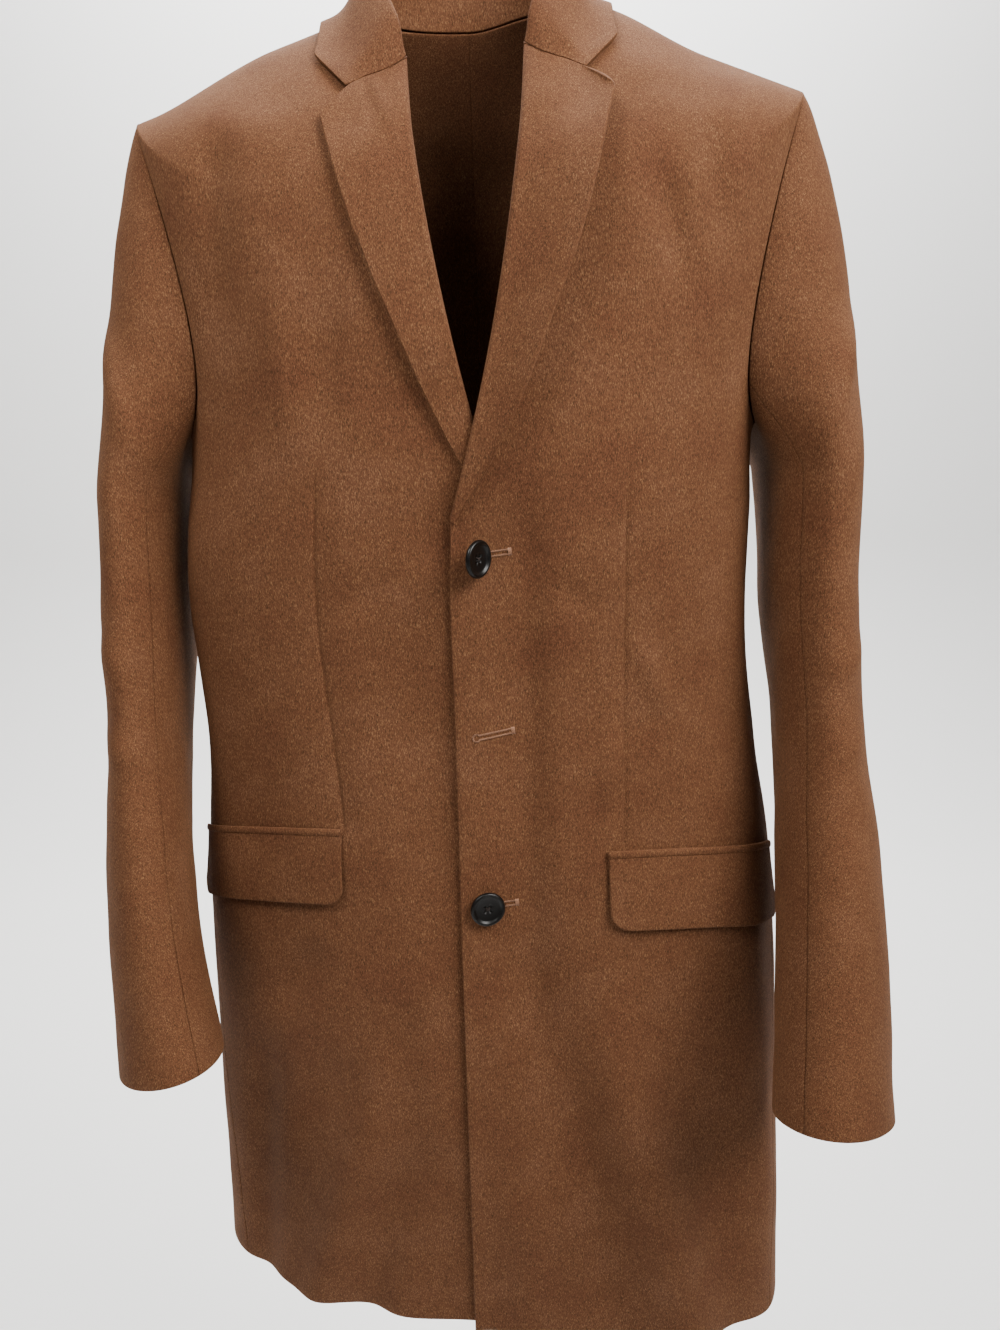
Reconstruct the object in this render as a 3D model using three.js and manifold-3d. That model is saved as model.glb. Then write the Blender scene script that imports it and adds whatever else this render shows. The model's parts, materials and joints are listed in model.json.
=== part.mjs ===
// A man's single-breasted wool overcoat, filled out as if worn, with nobody inside it.
// Millimetres, +Z up, the coat faces -Y, +X is the wearer's left.
// The origin is the nape, in the middle of the neck seam at the back.
// Every cloth piece is a 2 mm wall on one of two surfaces: the body, which is a stack of
// rings round the trunk, and the sleeve, which is a stack of rings down the arm.
import * as THREE from 'three';
import { mergeVertices } from 'three/addons/utils/BufferGeometryUtils.js';
import Module from 'manifold-3d';

const clothThickness = 2.0;
const seamGap = 0.3;
const layerGap = 0.3;
const lapelGap = 1.3;
const roundSideGap = 0.9;
const buttonDiameter = 25;
const buttonThickness = 4.2;
const buttonSpacing = 124;
const firstButtonHeight = -355;
const frontOverlap = 19;
const buttonholeLength = 26;
const buttonholeWidth = 2.3;
const buttonholeEyeDiameter = 4.2;
const buttonholeSetBack = 4;
const jetHeight = 6;
const flapHeight = 51;
const pocketSlope = 22;
const flapCornerRadius = 12;
const pocketRearAngle = 75;
const pocketSlopePower = 1.5;
const pocketDegree = 3.4;

const cloth = { colour: 0x8a5738, roughness: 0.95, metalness: 0 };
const horn = { colour: 0x120d0b, roughness: 0.25, metalness: 0 };

// The rings of the body, from the neck seam to the hem: heights at the centre front, at the
// side and at the centre back, then the half width and the depth in front of and behind centreY.
const bodyRings = [
  { at: 'neck seam', front: -66, side: -3, back: 0, half: 66, fore: 62, aft: 53, centreY: -5 },
  { at: 'mid shoulder', front: -98, side: -31, back: -55, half: 148, fore: 86, aft: 76, centreY: -3 },
  { at: 'shoulder point', front: -150, side: -57, back: -125, half: 226, fore: 105, aft: 92, centreY: 0 },
  { at: 'armpit', front: -262, side: -262, back: -262, half: 201, fore: 112, aft: 97, centreY: -5 },
  { at: 'chest', front: -340, side: -340, back: -340, half: 199, fore: 109, aft: 92, centreY: -9 },
  { at: 'waist', front: -430, side: -430, back: -430, half: 199, fore: 104, aft: 86, centreY: -12 },
  { at: 'hip', front: -520, side: -520, back: -520, half: 210, fore: 105, aft: 92, centreY: -14 },
  { at: 'pocket', front: -600, side: -600, back: -600, half: 222, fore: 107, aft: 100, centreY: -16 },
  { at: 'seat', front: -760, side: -760, back: -760, half: 231, fore: 107, aft: 106, centreY: -19 },
  { at: 'hem', front: -958, side: -958, back: -956, half: 237, fore: 107, aft: 108, centreY: -21 },
];
const shoulderRing = 2;
const hemRing = bodyRings.length - 1;
const seamTrim = 0.07;
const ringSquareness = 2.25;
const heightFalloff = 1.4;

// The roll line, along which a lapel turns over, and the side seam.
const rollTop = { x: 38, z: -49 };
const rollBreak = { x: -17, z: -330 };
const rollBelly = 7.6;
const sideSeam = [
  { ring: 3.1, angle: 86 },
  { ring: 5, angle: 84 },
  { ring: 7, angle: 80 },
  { ring: 7.6, angle: 72 },
  { ring: 9, angle: 65 },
];

// The armhole is a rounded loop in ring and angle: front and rear are how far it cuts in.
const armhole = { top: 2, bottom: 3.12, front: 29, rear: 25, middle: 90, squareness: 0.6 };

// What differs between the wearer's left (side 1) and right (side -1).
const sides = [
  { name: 'left', side: 1, hemDrop: 10, pocketZ: -565, pocketX: 85, under: 0 },
  { name: 'right', side: -1, hemDrop: 5, pocketZ: -547, pocketX: 99, under: 1 },
];

// How the worn coat hangs unevenly, in millimetres at its side: lower and fuller on the
// wearer's right above, lower and further forward on the wearer's left below.
const hang = {
  left: { shoulderDrop: 0, waistFullness: 0, skirtForward: 24, skirtDrop: 24 },
  right: { shoulderDrop: 9, waistFullness: 14, skirtForward: -12, skirtDrop: 3 },
};

// How the hem of a front drops towards its centre edge: the ring where it starts, and its spans.
const hemDropReach = { ring: 6, rings: 3, across: 1.2 };

// The lapel's inner edge runs faster than even towards the break and starts just off the roll
// line, and its top edge bows up a little.
const lapelShape = { innerPower: 1.05, offRoll: 0.6, below: 1, leastWidth: 3, bow: 1.5, bowPower: 6 };

// The lapel: its outer edge from the tip down to the break, in x and z on the front.
const lapelEdge = [
  { x: 90, z: -87 },
  { x: 79, z: -125 },
  { x: 64, z: -172 },
  { x: 46, z: -215 },
  { x: 26, z: -262 },
  { x: 4, z: -305 },
  { x: -17, z: -334 },
];

// The collar, from the gorge to the centre back. The fold line is given in space, the middle
// and the outer edge by their angle and ring on the body, and lift is the height above it.
const collarStations = [
  { at: 'gorge', foldX: 38, foldY: -62, foldZ: -44, midAngle: 36, midRing: 0.64, edgeAngle: 58, edgeRing: 0.54 },
  { at: 'front', foldX: 44, foldY: -55, foldZ: -20, midAngle: 52, midRing: 0.3, edgeAngle: 69, edgeRing: 0.42 },
  { at: 'neck side', foldX: 61, foldY: -18, foldZ: 22, midAngle: 80, midRing: 0.16, edgeAngle: 87, edgeRing: 0.36 },
  { at: 'behind side', foldX: 55, foldY: 22, foldZ: 33, midAngle: 118, midRing: 0.18, edgeAngle: 116, edgeRing: 0.44 },
  { at: 'near back', foldX: 30, foldY: 43, foldZ: 37, midAngle: 150, midRing: 0.24, edgeAngle: 149, edgeRing: 0.58 },
  { at: 'centre back', foldX: 0, foldY: 49, foldZ: 38, midAngle: 180, midRing: 0.26, edgeAngle: 180, edgeRing: 0.66 },
];
const collarBackStart = 0.8;
const collarMidLift = { gorge: 4.2, back: 9 };
const collarEdgeLift = { gorge: 4.2, back: 4 };

// The sleeves: rings down each arm, with the centre, the half widths across and fore-and-aft,
// and how far the ring leans, in degrees: forward, outward and toed in towards the front.
const sleeveRings = {
  left: [
    { at: 'under the arm', x: 241, y: -14, z: -312, across: 33, deep: 76, forward: 2, outward: 0, toed: 0 },
    { at: 'upper arm', x: 243, y: -24, z: -400, across: 32, deep: 72, forward: 7, outward: 0, toed: 2 },
    { at: 'elbow', x: 247, y: -54, z: -500, across: 32, deep: 67, forward: 14, outward: 0, toed: 5 },
    { at: 'forearm', x: 245, y: -110, z: -612, across: 38, deep: 61, forward: 20, outward: 1, toed: 8 },
    { at: 'cuff', x: 234, y: -174, z: -734, across: 41, deep: 54, forward: 20, outward: 3, toed: 10 },
  ],
  right: [
    { at: 'under the arm', x: 243, y: -12, z: -320, across: 27, deep: 76, forward: 2, outward: 0, toed: 0 },
    { at: 'upper arm', x: 248, y: -24, z: -405, across: 28, deep: 72, forward: 7, outward: 0, toed: 2 },
    { at: 'elbow', x: 251, y: -50, z: -505, across: 28, deep: 67, forward: 12, outward: 2, toed: 7 },
    { at: 'forearm', x: 247, y: -92, z: -605, across: 32, deep: 61, forward: 15, outward: 7, toed: 12 },
    { at: 'cuff', x: 229, y: -138, z: -708, across: 39, deep: 54, forward: 15, outward: 12, toed: 14 },
  ],
};
const capLength = 4;
const sleeveHead = {
  left: { out: 0.5, down: 0.75, ease: 0.75 },
  right: { out: 0.4, down: 0.85, ease: 0.75 },
};
const sleeveTrim = 0.15;

// How a sleeve leaves the armhole, at the armpit and at the shoulder: its direction outwards and
// down, and how far it starts outside the armhole seam and along its own run.
const sleeveLeave = { outLow: 0.35, downLow: 0.9, forward: 0.25, liftLow: 2.6, liftHigh: 0.5, along: 0.8 };
const sleeveSeams = { front: 128, rear: 248 };

// Where the uneven hang acts: full at the side, and over these heights.
const hangReach = {
  side: 205,
  shoulder: 130,
  shoulderWidth: 85,
  armpit: -330,
  shoulderSpan: 150,
  skirt: -480,
  skirtSpan: 460,
  waist: -390,
  waistSpan: 110,
  frontShare: 0.7,
  frontSpan: 60,
};

// The tuck of the right front: its depths, where it starts and how far it reaches from the edge.
const tuck = { atLapel: 6.2, atEdge: 2.5, start: -215, ease: 50, full: 24, fade: 60 };

// The small mathematics of the surfaces.
const radians = (degrees) => (degrees * Math.PI) / 180;
const degreesOf = (angle) => (angle * 180) / Math.PI;
const mix = (a, b, t) => a + (b - a) * t;
const clamp = (value, low, high) => Math.min(high, Math.max(low, value));
const smooth = (t) => {
  const c = clamp(t, 0, 1);
  return c * c * (3 - 2 * c);
};
const signedPower = (value, power) => Math.sign(value) * Math.abs(value) ** power;
const hermite = (a, b, slopeA, slopeB, t) => {
  const t2 = t * t;
  const t3 = t2 * t;
  return a * (2 * t3 - 3 * t2 + 1) + slopeA * (t3 - 2 * t2 + t) + b * (3 * t2 - 2 * t3) + slopeB * (t3 - t2);
};

// A smooth value through the rows of a table, read in one column at a fractional row.
function column(rows, key, place) {
  const row = clamp(Math.floor(place), 0, rows.length - 2);
  const at = (i) => rows[clamp(i, 0, rows.length - 1)][key];
  const slope = (i) => {
    if (i <= 0) return at(1) - at(0);
    if (i >= rows.length - 1) return at(i) - at(i - 1);
    return (at(i + 1) - at(i - 1)) / 2;
  };
  return hermite(at(row), at(row + 1), slope(row), slope(row + 1), place - row);
}

// The same through a table whose rows name their own places.
function tableAt(rows, placeKey, key, place) {
  let row = 0;
  while (row < rows.length - 2 && place > rows[row + 1][placeKey]) row += 1;
  const span = rows[row + 1][placeKey] - rows[row][placeKey];
  return mix(rows[row][key], rows[row + 1][key], smooth(clamp((place - rows[row][placeKey]) / span, 0, 1)));
}

// One value of a body ring. Above the shoulder point the side runs straight, so the shoulder
// keeps its edge, and the front and the back run on smoothly.
function ringValue(key, place, sideWeight) {
  if (place <= shoulderRing - 1 || place >= shoulderRing + 1) return column(bodyRings, key, place);
  const [before, here, after] = [1, 2, 3].map((i) => bodyRings[i][key]);
  const even = (after - before) / 2;
  if (place <= shoulderRing) {
    const start = (here - bodyRings[0][key]) / 2;
    return hermite(before, here, start, mix(even, here - before, sideWeight), place - 1);
  }
  const end = (bodyRings[4][key] - here) / 2;
  return hermite(here, after, mix(even, after - here, sideWeight), end, place - shoulderRing);
}

// A point of the body's outer face: angle 0 is the centre front, 90 the side, 180 the back.
function bodyPoint(angle, ring) {
  const sine = Math.sin(radians(angle));
  const cosine = Math.cos(radians(angle));
  const sideWeight = sine ** 4;
  const value = (key) => ringValue(key, ring, sideWeight);
  const power = 2 / ringSquareness;
  const depth = cosine > 0 ? value('fore') : value('aft');
  const end = cosine > 0 ? value('front') : value('back');
  const side = value('side');
  return new THREE.Vector3(
    value('half') * signedPower(sine, power),
    value('centreY') - depth * signedPower(cosine, power),
    side + (end - side) * Math.abs(cosine) ** heightFalloff,
  );
}

// The outward normal of a surface that gives a point for two parameters.
function normalOf(surface, a, b, stepA, stepB) {
  const alongA = surface(a + stepA, b).sub(surface(a - stepA, b));
  const alongB = surface(a, b + stepB).sub(surface(a, b - stepB));
  return alongB.cross(alongA).normalize();
}
const bodyNormal = (angle, ring) => normalOf(bodyPoint, angle, clamp(ring, 0.01, hemRing - 0.01), 0.4, 0.01);
const bodyOut = (angle, ring, lift) =>
  bodyPoint(angle, ring).addScaledVector(bodyNormal(angle, ring), lift);

// The angle and ring of the front point at a given x and z.
function frontAt(x, z) {
  let angle = 10;
  let ring = 3;
  for (let round = 0; round < 40; round += 1) {
    let low = 0;
    let high = hemRing + 0.4;
    for (let halving = 0; halving < 24; halving += 1) {
      ring = (low + high) / 2;
      if (bodyPoint(angle, ring).z > z) low = ring;
      else high = ring;
    }
    const half = ringValue('half', ring, Math.sin(radians(angle)) ** 4);
    const target = degreesOf(Math.asin(clamp(signedPower(x / half, ringSquareness / 2), -0.999, 0.999)));
    angle = mix(angle, target, 0.7);
  }
  return { angle, ring };
}

// Places along the roll line and then the front edge, by height.
function rollX(z) {
  const t = clamp((rollTop.z - z) / (rollTop.z - rollBreak.z), 0, 1);
  return mix(rollTop.x, rollBreak.x, t) + rollBelly * 4 * t * (1 - t);
}
const edgeX = (z) => (z > rollBreak.z ? rollX(z) : mix(rollBreak.x, -frontOverlap, smooth((rollBreak.z - z) / 60)));

// How far the right front and its lapel are tucked in, to pass under the left front.
function tuckAt(x, z) {
  const nearEdge = 1 - smooth((x - tuck.full) / tuck.fade);
  const below = smooth((tuck.start - z) / tuck.ease);
  return nearEdge * below * mix(tuck.atLapel, tuck.atEdge, smooth((rollBreak.z - z) / tuck.fade));
}

// A closed wall from a grid of outer points and the directions that its thickness takes.
function wall(name, finish, points, inward, thickness) {
  const rows = points.length;
  const columns = points[0].length;
  const positions = [];
  for (const layer of [0, thickness]) {
    for (let i = 0; i < rows; i += 1) {
      for (let j = 0; j < columns; j += 1) {
        const p = points[i][j].clone().addScaledVector(inward[i][j], layer);
        positions.push(p.x, p.y, p.z);
      }
    }
  }
  const outer = (i, j) => i * columns + j;
  const inner = (i, j) => rows * columns + i * columns + j;
  const triangles = [];
  const quad = (a, b, c, d) => triangles.push(a, b, c, a, c, d);
  for (let i = 0; i < rows - 1; i += 1) {
    for (let j = 0; j < columns - 1; j += 1) {
      quad(outer(i, j), outer(i + 1, j), outer(i + 1, j + 1), outer(i, j + 1));
      quad(inner(i, j), inner(i, j + 1), inner(i + 1, j + 1), inner(i + 1, j));
    }
    quad(outer(i, 0), inner(i, 0), inner(i + 1, 0), outer(i + 1, 0));
    quad(outer(i + 1, columns - 1), inner(i + 1, columns - 1), inner(i, columns - 1), outer(i, columns - 1));
  }
  for (let j = 0; j < columns - 1; j += 1) {
    quad(outer(0, j + 1), inner(0, j + 1), inner(0, j), outer(0, j));
    quad(outer(rows - 1, j), inner(rows - 1, j), inner(rows - 1, j + 1), outer(rows - 1, j + 1));
  }
  const geometry = new THREE.BufferGeometry();
  geometry.setAttribute('position', new THREE.BufferAttribute(new Float32Array(positions), 3));
  geometry.setIndex(triangles);
  return meshOf(name, finish, geometry);
}

function meshOf(name, finish, geometry) {
  const material = new THREE.MeshStandardMaterial({
    color: finish.colour,
    roughness: finish.roughness,
    metalness: finish.metalness,
  });
  const mesh = new THREE.Mesh(geometry, material);
  mesh.name = name;
  return mesh;
}

// Moves a point of the wearer's left half as the worn coat hangs on the named side.
function hung(point, name) {
  const { shoulderDrop, waistFullness, skirtForward, skirtDrop } = hang[name];
  const beside = smooth(point.x / hangReach.side);
  const atShoulder = smooth((point.x - hangReach.shoulder) / hangReach.shoulderWidth);
  const high = smooth((point.z - hangReach.armpit) / hangReach.shoulderSpan);
  const low = smooth((hangReach.skirt - point.z) / hangReach.skirtSpan);
  const middle = Math.exp(-(((point.z - hangReach.waist) / hangReach.waistSpan) ** 2));
  const towardsFront = 1 + hangReach.frontShare * smooth(-point.y / hangReach.frontSpan);
  return new THREE.Vector3(
    point.x + waistFullness * beside * middle * towardsFront,
    point.y - skirtForward * beside * low,
    point.z - shoulderDrop * atShoulder * high - skirtDrop * beside * low,
  );
}

// Mirrors a grid made for the wearer's left to the wearer's right, and keeps its faces out.
function mirrored(grid, side) {
  if (side > 0) return grid;
  return grid.map((row) => row.map((p) => new THREE.Vector3(-p.x, p.y, p.z)).reverse());
}

// A wall on one side of the coat, from a grid made for the wearer's left.
function sidedWall(piece, { name, side }, points, inward) {
  const placed = points.map((row) => row.map((p) => hung(p, name)));
  return wall(`${piece}_${name}`, cloth, mirrored(placed, side), mirrored(inward, side), clothThickness);
}

// Even steps from 0 to 1.
const steps = (count) => Array.from({ length: count + 1 }, (_, i) => i / count);

// The rows of a panel: the ring at the centre edge and the place on the side edge.
const armholePoint = (turn, reach) => {
  const swing = Math.abs(Math.sin(radians(turn))) ** armhole.squareness;
  return {
    angle: armhole.middle + reach * swing,
    ring: mix(armhole.top, armhole.bottom, (1 - Math.cos(radians(turn))) / 2),
  };
};
const shoulderEnd = 1.45;
const armholeEnd = 3.35;
const sideSeamEase = 0.12;
const panelRows = [
  ...steps(4).map((t) => ({ centre: mix(0, shoulderEnd, t), part: 'shoulder', place: t })),
  ...steps(9).slice(1).map((t) => ({ centre: mix(shoulderEnd, armholeEnd, t), part: 'armhole', place: t })),
  ...steps(13).slice(1).map((t) => ({ centre: mix(armholeEnd, hemRing, t), part: 'side', place: t })),
];

// The side edge of a panel at one row, trimmed by half a seam gap towards the panel.
function sideEdge(row, reach) {
  const trim = Math.sign(reach) * seamTrim;
  if (row.part === 'shoulder') return { angle: armhole.middle + trim * 2, ring: shoulderRing * row.place };
  if (row.part === 'armhole') {
    const point = armholePoint(180 * row.place, reach);
    return { angle: point.angle + trim, ring: point.ring };
  }
  const ring = mix(armhole.bottom, hemRing, row.place);
  const onSeam = tableAt(sideSeam, 'ring', 'angle', ring);
  const easeIn = smooth(row.place / sideSeamEase);
  return { angle: mix(armhole.middle, onSeam, easeIn) + trim, ring };
}

// One panel as two grids, points and inward directions, from centreAngle(row) to its side edge.
function panelGrids(columns, centreAt, reach, shape) {
  const points = [];
  const inward = [];
  for (const row of panelRows) {
    const centre = centreAt(row);
    const edge = sideEdge(row, reach);
    const line = [];
    const into = [];
    for (const t of steps(columns)) {
      const angle = mix(centre.angle, edge.angle, t);
      const ring = mix(centre.ring, edge.ring, t);
      const normal = bodyNormal(angle, ring);
      line.push(shape(bodyPoint(angle, ring), normal, t, row));
      into.push(normal.negate());
    }
    points.push(line);
    inward.push(into);
  }
  return { points, inward };
}

// The centre edge of a front at one row: down the roll line, then down the front edge.
function frontEdgeAt({ centre }) {
  const straight = bodyPoint(0, Math.max(centre, shoulderEnd)).z;
  const z = centre < shoulderEnd ? mix(rollTop.z, straight, centre / shoulderEnd) : straight;
  return frontAt(edgeX(z) + seamGap, z);
}

const group = new THREE.Group();
const wasm = await Module();
wasm.setup();

// Turns a mesh's geometry into a solid and a solid back into a geometry.
function solidOf(geometry) {
  const plain = geometry.index ? geometry.toNonIndexed() : geometry.clone();
  plain.deleteAttribute('normal');
  plain.deleteAttribute('uv');
  const merged = mergeVertices(plain, 1e-3);
  return new wasm.Manifold(
    new wasm.Mesh({
      numProp: 3,
      vertProperties: merged.attributes.position.array,
      triVerts: new Uint32Array(merged.index.array),
    }),
  );
}
function geometryOf(solid) {
  const { vertProperties, triVerts } = solid.getMesh();
  const geometry = new THREE.BufferGeometry();
  geometry.setAttribute('position', new THREE.BufferAttribute(new Float32Array(vertProperties), 3));
  geometry.setIndex(Array.from(triVerts));
  return geometry;
}

// A frame on the front: the point at x and z, with its outward normal and its level direction.
function frontFrame(x, z, lift) {
  const { angle, ring } = frontAt(x, z);
  const normal = bodyNormal(angle, ring);
  const level = new THREE.Vector3(-normal.y, normal.x, 0).normalize();
  const up = normal.clone().cross(level).normalize();
  const origin = bodyPoint(angle, ring).addScaledVector(normal, lift);
  return new THREE.Matrix4().makeBasis(level, up, normal).setPosition(origin);
}

// A keyhole buttonhole: a slit that ends in a round eye near the front edge.
function buttonholeCutter(x, z) {
  const eye = new THREE.CylinderGeometry(buttonholeEyeDiameter / 2, buttonholeEyeDiameter / 2, 12, 16);
  eye.rotateX(Math.PI / 2);
  const slit = new THREE.BoxGeometry(buttonholeLength, buttonholeWidth, 12);
  slit.translate(buttonholeLength / 2, 0, 0);
  const frame = frontFrame(x, z, 0);
  return solidOf(eye.applyMatrix4(frame)).add(solidOf(slit.applyMatrix4(frame)));
}

// The two fronts. The right one passes under the left one, so it is tucked in near the middle.
for (const half of sides) {
  const { side, hemDrop, under } = half;
  const shape = (point, normal, t, row) => {
    point.addScaledVector(normal, -under * tuckAt(point.x, point.z));
    const low = smooth((row.centre - hemDropReach.ring) / hemDropReach.rings);
    point.z -= hemDrop * low * (1 - smooth(t * hemDropReach.across));
    return point;
  };
  const { points, inward } = panelGrids(12, frontEdgeAt, -armhole.front, shape);
  const front = sidedWall('front', half, points, inward);
  if (side > 0) {
    let solid = solidOf(front.geometry);
    for (const index of [0, 1, 2]) {
      const z = firstButtonHeight - index * buttonSpacing;
      solid = solid.subtract(buttonholeCutter(-buttonholeSetBack, z));
    }
    front.geometry = geometryOf(solid);
  }
  group.add(front);
}

// The two backs meet in a plain centre seam.
const turned = (grid) => grid.map((row) => [...row].reverse());
for (const half of sides) {
  const centreAt = (row) => ({ angle: 180, ring: row.centre });
  const { points, inward } = panelGrids(9, centreAt, armhole.rear, (point) => {
    point.x = Math.max(point.x, seamGap / 2);
    return point;
  });
  group.add(sidedWall('back', half, turned(points), turned(inward)));
}

// The lapels lie on the fronts, from the roll line to their outer edge.
for (const half of sides) {
  const points = [];
  const inward = [];
  for (const down of steps(12)) {
    const edgePlace = down * (lapelEdge.length - 1);
    const outer = { x: column(lapelEdge, 'x', edgePlace), z: column(lapelEdge, 'z', edgePlace) };
    const innerZ = mix(rollTop.z, rollBreak.z, down ** lapelShape.innerPower) - lapelShape.below;
    const inner = { x: rollX(innerZ) + lapelShape.offRoll, z: innerZ };
    const line = [];
    const into = [];
    for (const across of steps(5)) {
      const topBow = (1 - down) ** lapelShape.bowPower * 4 * across * (1 - across);
      const x = mix(inner.x, Math.max(outer.x, inner.x + lapelShape.leastWidth), across);
      const z = mix(inner.z, outer.z, across) + topBow * lapelShape.bow;
      const { angle, ring } = frontAt(x, z);
      const normal = bodyNormal(angle, ring);
      const lift = lapelGap + clothThickness - half.under * tuckAt(x, z);
      line.push(bodyPoint(angle, ring).addScaledVector(normal, lift));
      into.push(normal.negate());
    }
    points.push(line);
    inward.push(into);
  }
  group.add(sidedWall('lapel', half, points, inward));
}

// The collar: from the neck seam up the stand, over the fold and down the fall.
function collarRow(place) {
  const value = (key) => column(collarStations, key, place);
  const back = place / (collarStations.length - 1);
  const fold = new THREE.Vector3(value('foldX'), value('foldY'), value('foldZ'));
  const atBack = smooth((back - collarBackStart) / (1 - collarBackStart));
  const angle = mix(degreesOf(Math.atan2(fold.x, -fold.y)), 180, atBack);
  const seam = bodyPoint(angle, 0);
  const towardsNeck = new THREE.Vector3(-seam.x, bodyRings[0].centreY - seam.y, 0).normalize();
  seam.addScaledVector(towardsNeck, clothThickness + 2 * layerGap);
  const middle = bodyOut(value('midAngle'), value('midRing'), mix(collarMidLift.gorge, collarMidLift.back, back));
  const edge = bodyOut(value('edgeAngle'), value('edgeRing'), mix(collarEdgeLift.gorge, collarEdgeLift.back, back));
  return { seam, fold, middle, edge };
}
const collarPoints = [];
for (const place of steps(24)) {
  const station = Math.abs(place - 0.5) * 2;
  const row = collarRow((1 - station) * (collarStations.length - 1));
  const line = [];
  const guides = [row.seam, row.fold, row.middle, row.edge];
  const curve = new THREE.CatmullRomCurve3(guides, false, 'centripetal');
  for (const across of steps(8)) {
    const point = hung(curve.getPoint(across), place < 0.5 ? 'right' : 'left');
    line.push(new THREE.Vector3(place < 0.5 ? -point.x : point.x, point.y, point.z));
  }
  collarPoints.push(line);
}
const collarInward = collarPoints.map((line, i) =>
  line.map((_, j) => {
    const before = collarPoints[Math.max(i - 1, 0)][j];
    const after = collarPoints[Math.min(i + 1, collarPoints.length - 1)][j];
    const around = after.clone().sub(before);
    const across = line[Math.min(j + 1, line.length - 1)].clone().sub(line[Math.max(j - 1, 0)]);
    return across.cross(around).normalize();
  }),
);
group.add(wall('collar', cloth, collarPoints, collarInward, clothThickness));

// The sleeves: a cap from the armhole to the first ring, then the rings of the arm.
function ringOfArm(rings, turn, place) {
  const value = (key) => column(rings, key, place);
  const lean = radians(value('forward'));
  const out = radians(value('outward'));
  const across = value('across') * Math.cos(radians(turn));
  const deep = value('deep') * Math.sin(radians(turn));
  return new THREE.Vector3(
    value('x') + across * Math.cos(out) - deep * Math.sin(radians(value('toed'))),
    value('y') - deep * Math.cos(lean),
    value('z') + deep * Math.sin(lean) - across * Math.sin(out),
  );
}
function armholeStart(turn, name) {
  const forward = turn % 360 < 180;
  const half = forward ? turn % 360 : 360 - (turn % 360);
  const place = armholePoint(half, forward ? -armhole.front : armhole.rear);
  const point = bodyPoint(place.angle, place.ring);
  const normal = bodyNormal(place.angle, clamp(place.ring, 2.02, 9));
  const high = (1 + Math.cos(radians(half))) / 2;
  const { out, down } = sleeveHead[name];
  const { outLow, downLow, forward: ahead, liftLow, liftHigh, along } = sleeveLeave;
  const leave = new THREE.Vector3(
    mix(outLow, out, high),
    -ahead * Math.sin(radians(turn)),
    mix(-downLow, -down, high),
  );
  leave.normalize();
  const start = hung(point, name)
    .addScaledVector(normal, mix(liftLow, liftHigh, high))
    .addScaledVector(leave, along);
  return { point: start, leave };
}
function sleevePoint(name, turn, place) {
  const rings = sleeveRings[name];
  if (place >= capLength) return ringOfArm(rings, turn, place - capLength);
  const { point, leave } = armholeStart(turn, name);
  const end = ringOfArm(rings, turn, 0);
  const arrive = ringOfArm(rings, turn, 0.05).sub(end).normalize();
  const reach = point.distanceTo(end) * sleeveHead[name].ease;
  const t = place / capLength;
  const axis = (key) => hermite(point[key], end[key], leave[key] * reach, arrive[key] * reach, t);
  return new THREE.Vector3(axis('x'), axis('y'), axis('z'));
}
const lastSleeveRing = capLength + sleeveRings.left.length - 1;
const sleeveRows = [
  ...steps(6).map((t) => t * capLength),
  ...steps(9).slice(1).map((t) => mix(capLength, lastSleeveRing, t)),
];
const sleevePieces = [
  { piece: 'under_sleeve', from: sleeveSeams.front, to: sleeveSeams.rear, columns: 6 },
  { piece: 'top_sleeve', from: sleeveSeams.rear, to: sleeveSeams.front + 360, columns: 12 },
];
for (const { name, side } of sides) {
  const surface = (turn, place) => sleevePoint(name, turn, place);
  for (const { piece, from, to, columns } of sleevePieces) {
    const points = [];
    const inward = [];
    for (const place of sleeveRows) {
      const line = [];
      const into = [];
      for (const across of steps(columns)) {
        const turn = mix(from + sleeveTrim, to - sleeveTrim, across);
        const held = clamp(place, 0.02, lastSleeveRing - 0.02);
        line.push(surface(turn, place));
        into.push(normalOf(surface, turn, held, 0.5, 0.02));
      }
      points.push(line);
      inward.push(into);
    }
    const flipped = (grid) => mirrored(turned(grid), side);
    group.add(wall(`${piece}_${name}`, cloth, flipped(points), flipped(inward), clothThickness));
  }
}

// The pockets: a jet and a flap under it, both lying on the front.
function pocketStrip(piece, half, top, bottom, rounded, lift) {
  const { pocketX, pocketZ } = half;
  const near = frontAt(pocketX, pocketZ);
  const points = [];
  const inward = [];
  const rows = rounded ? 4 : 1;
  const columns = rounded ? 14 : 12;
  for (const down of steps(rows)) {
    const line = [];
    const into = [];
    for (const along of steps(columns)) {
      const fromEnd = Math.min(along, 1 - along) * (pocketRearAngle - near.angle) * pocketDegree;
      const missing = clamp(flapCornerRadius - fromEnd, 0, flapCornerRadius);
      const lost = rounded ? flapCornerRadius - Math.sqrt(flapCornerRadius ** 2 - missing ** 2) : 0;
      const angle = mix(near.angle, pocketRearAngle, along);
      const z = mix(pocketZ + top, pocketZ + bottom + lost, down) - pocketSlope * along ** pocketSlopePower;
      const ring = ringAtHeight(angle, z);
      const normal = bodyNormal(angle, ring);
      line.push(bodyPoint(angle, ring).addScaledVector(normal, lift));
      into.push(normal.negate());
    }
    points.push(line);
    inward.push(into);
  }
  group.add(sidedWall(piece, half, points, inward));
}
function ringAtHeight(angle, z) {
  let low = 3;
  let high = hemRing;
  for (let halving = 0; halving < 30; halving += 1) {
    const ring = (low + high) / 2;
    if (bodyPoint(angle, ring).z > z) low = ring;
    else high = ring;
  }
  return (low + high) / 2;
}
const onPanel = roundSideGap + clothThickness;
const flapTop = -jetHeight / 2 - seamGap;
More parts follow.
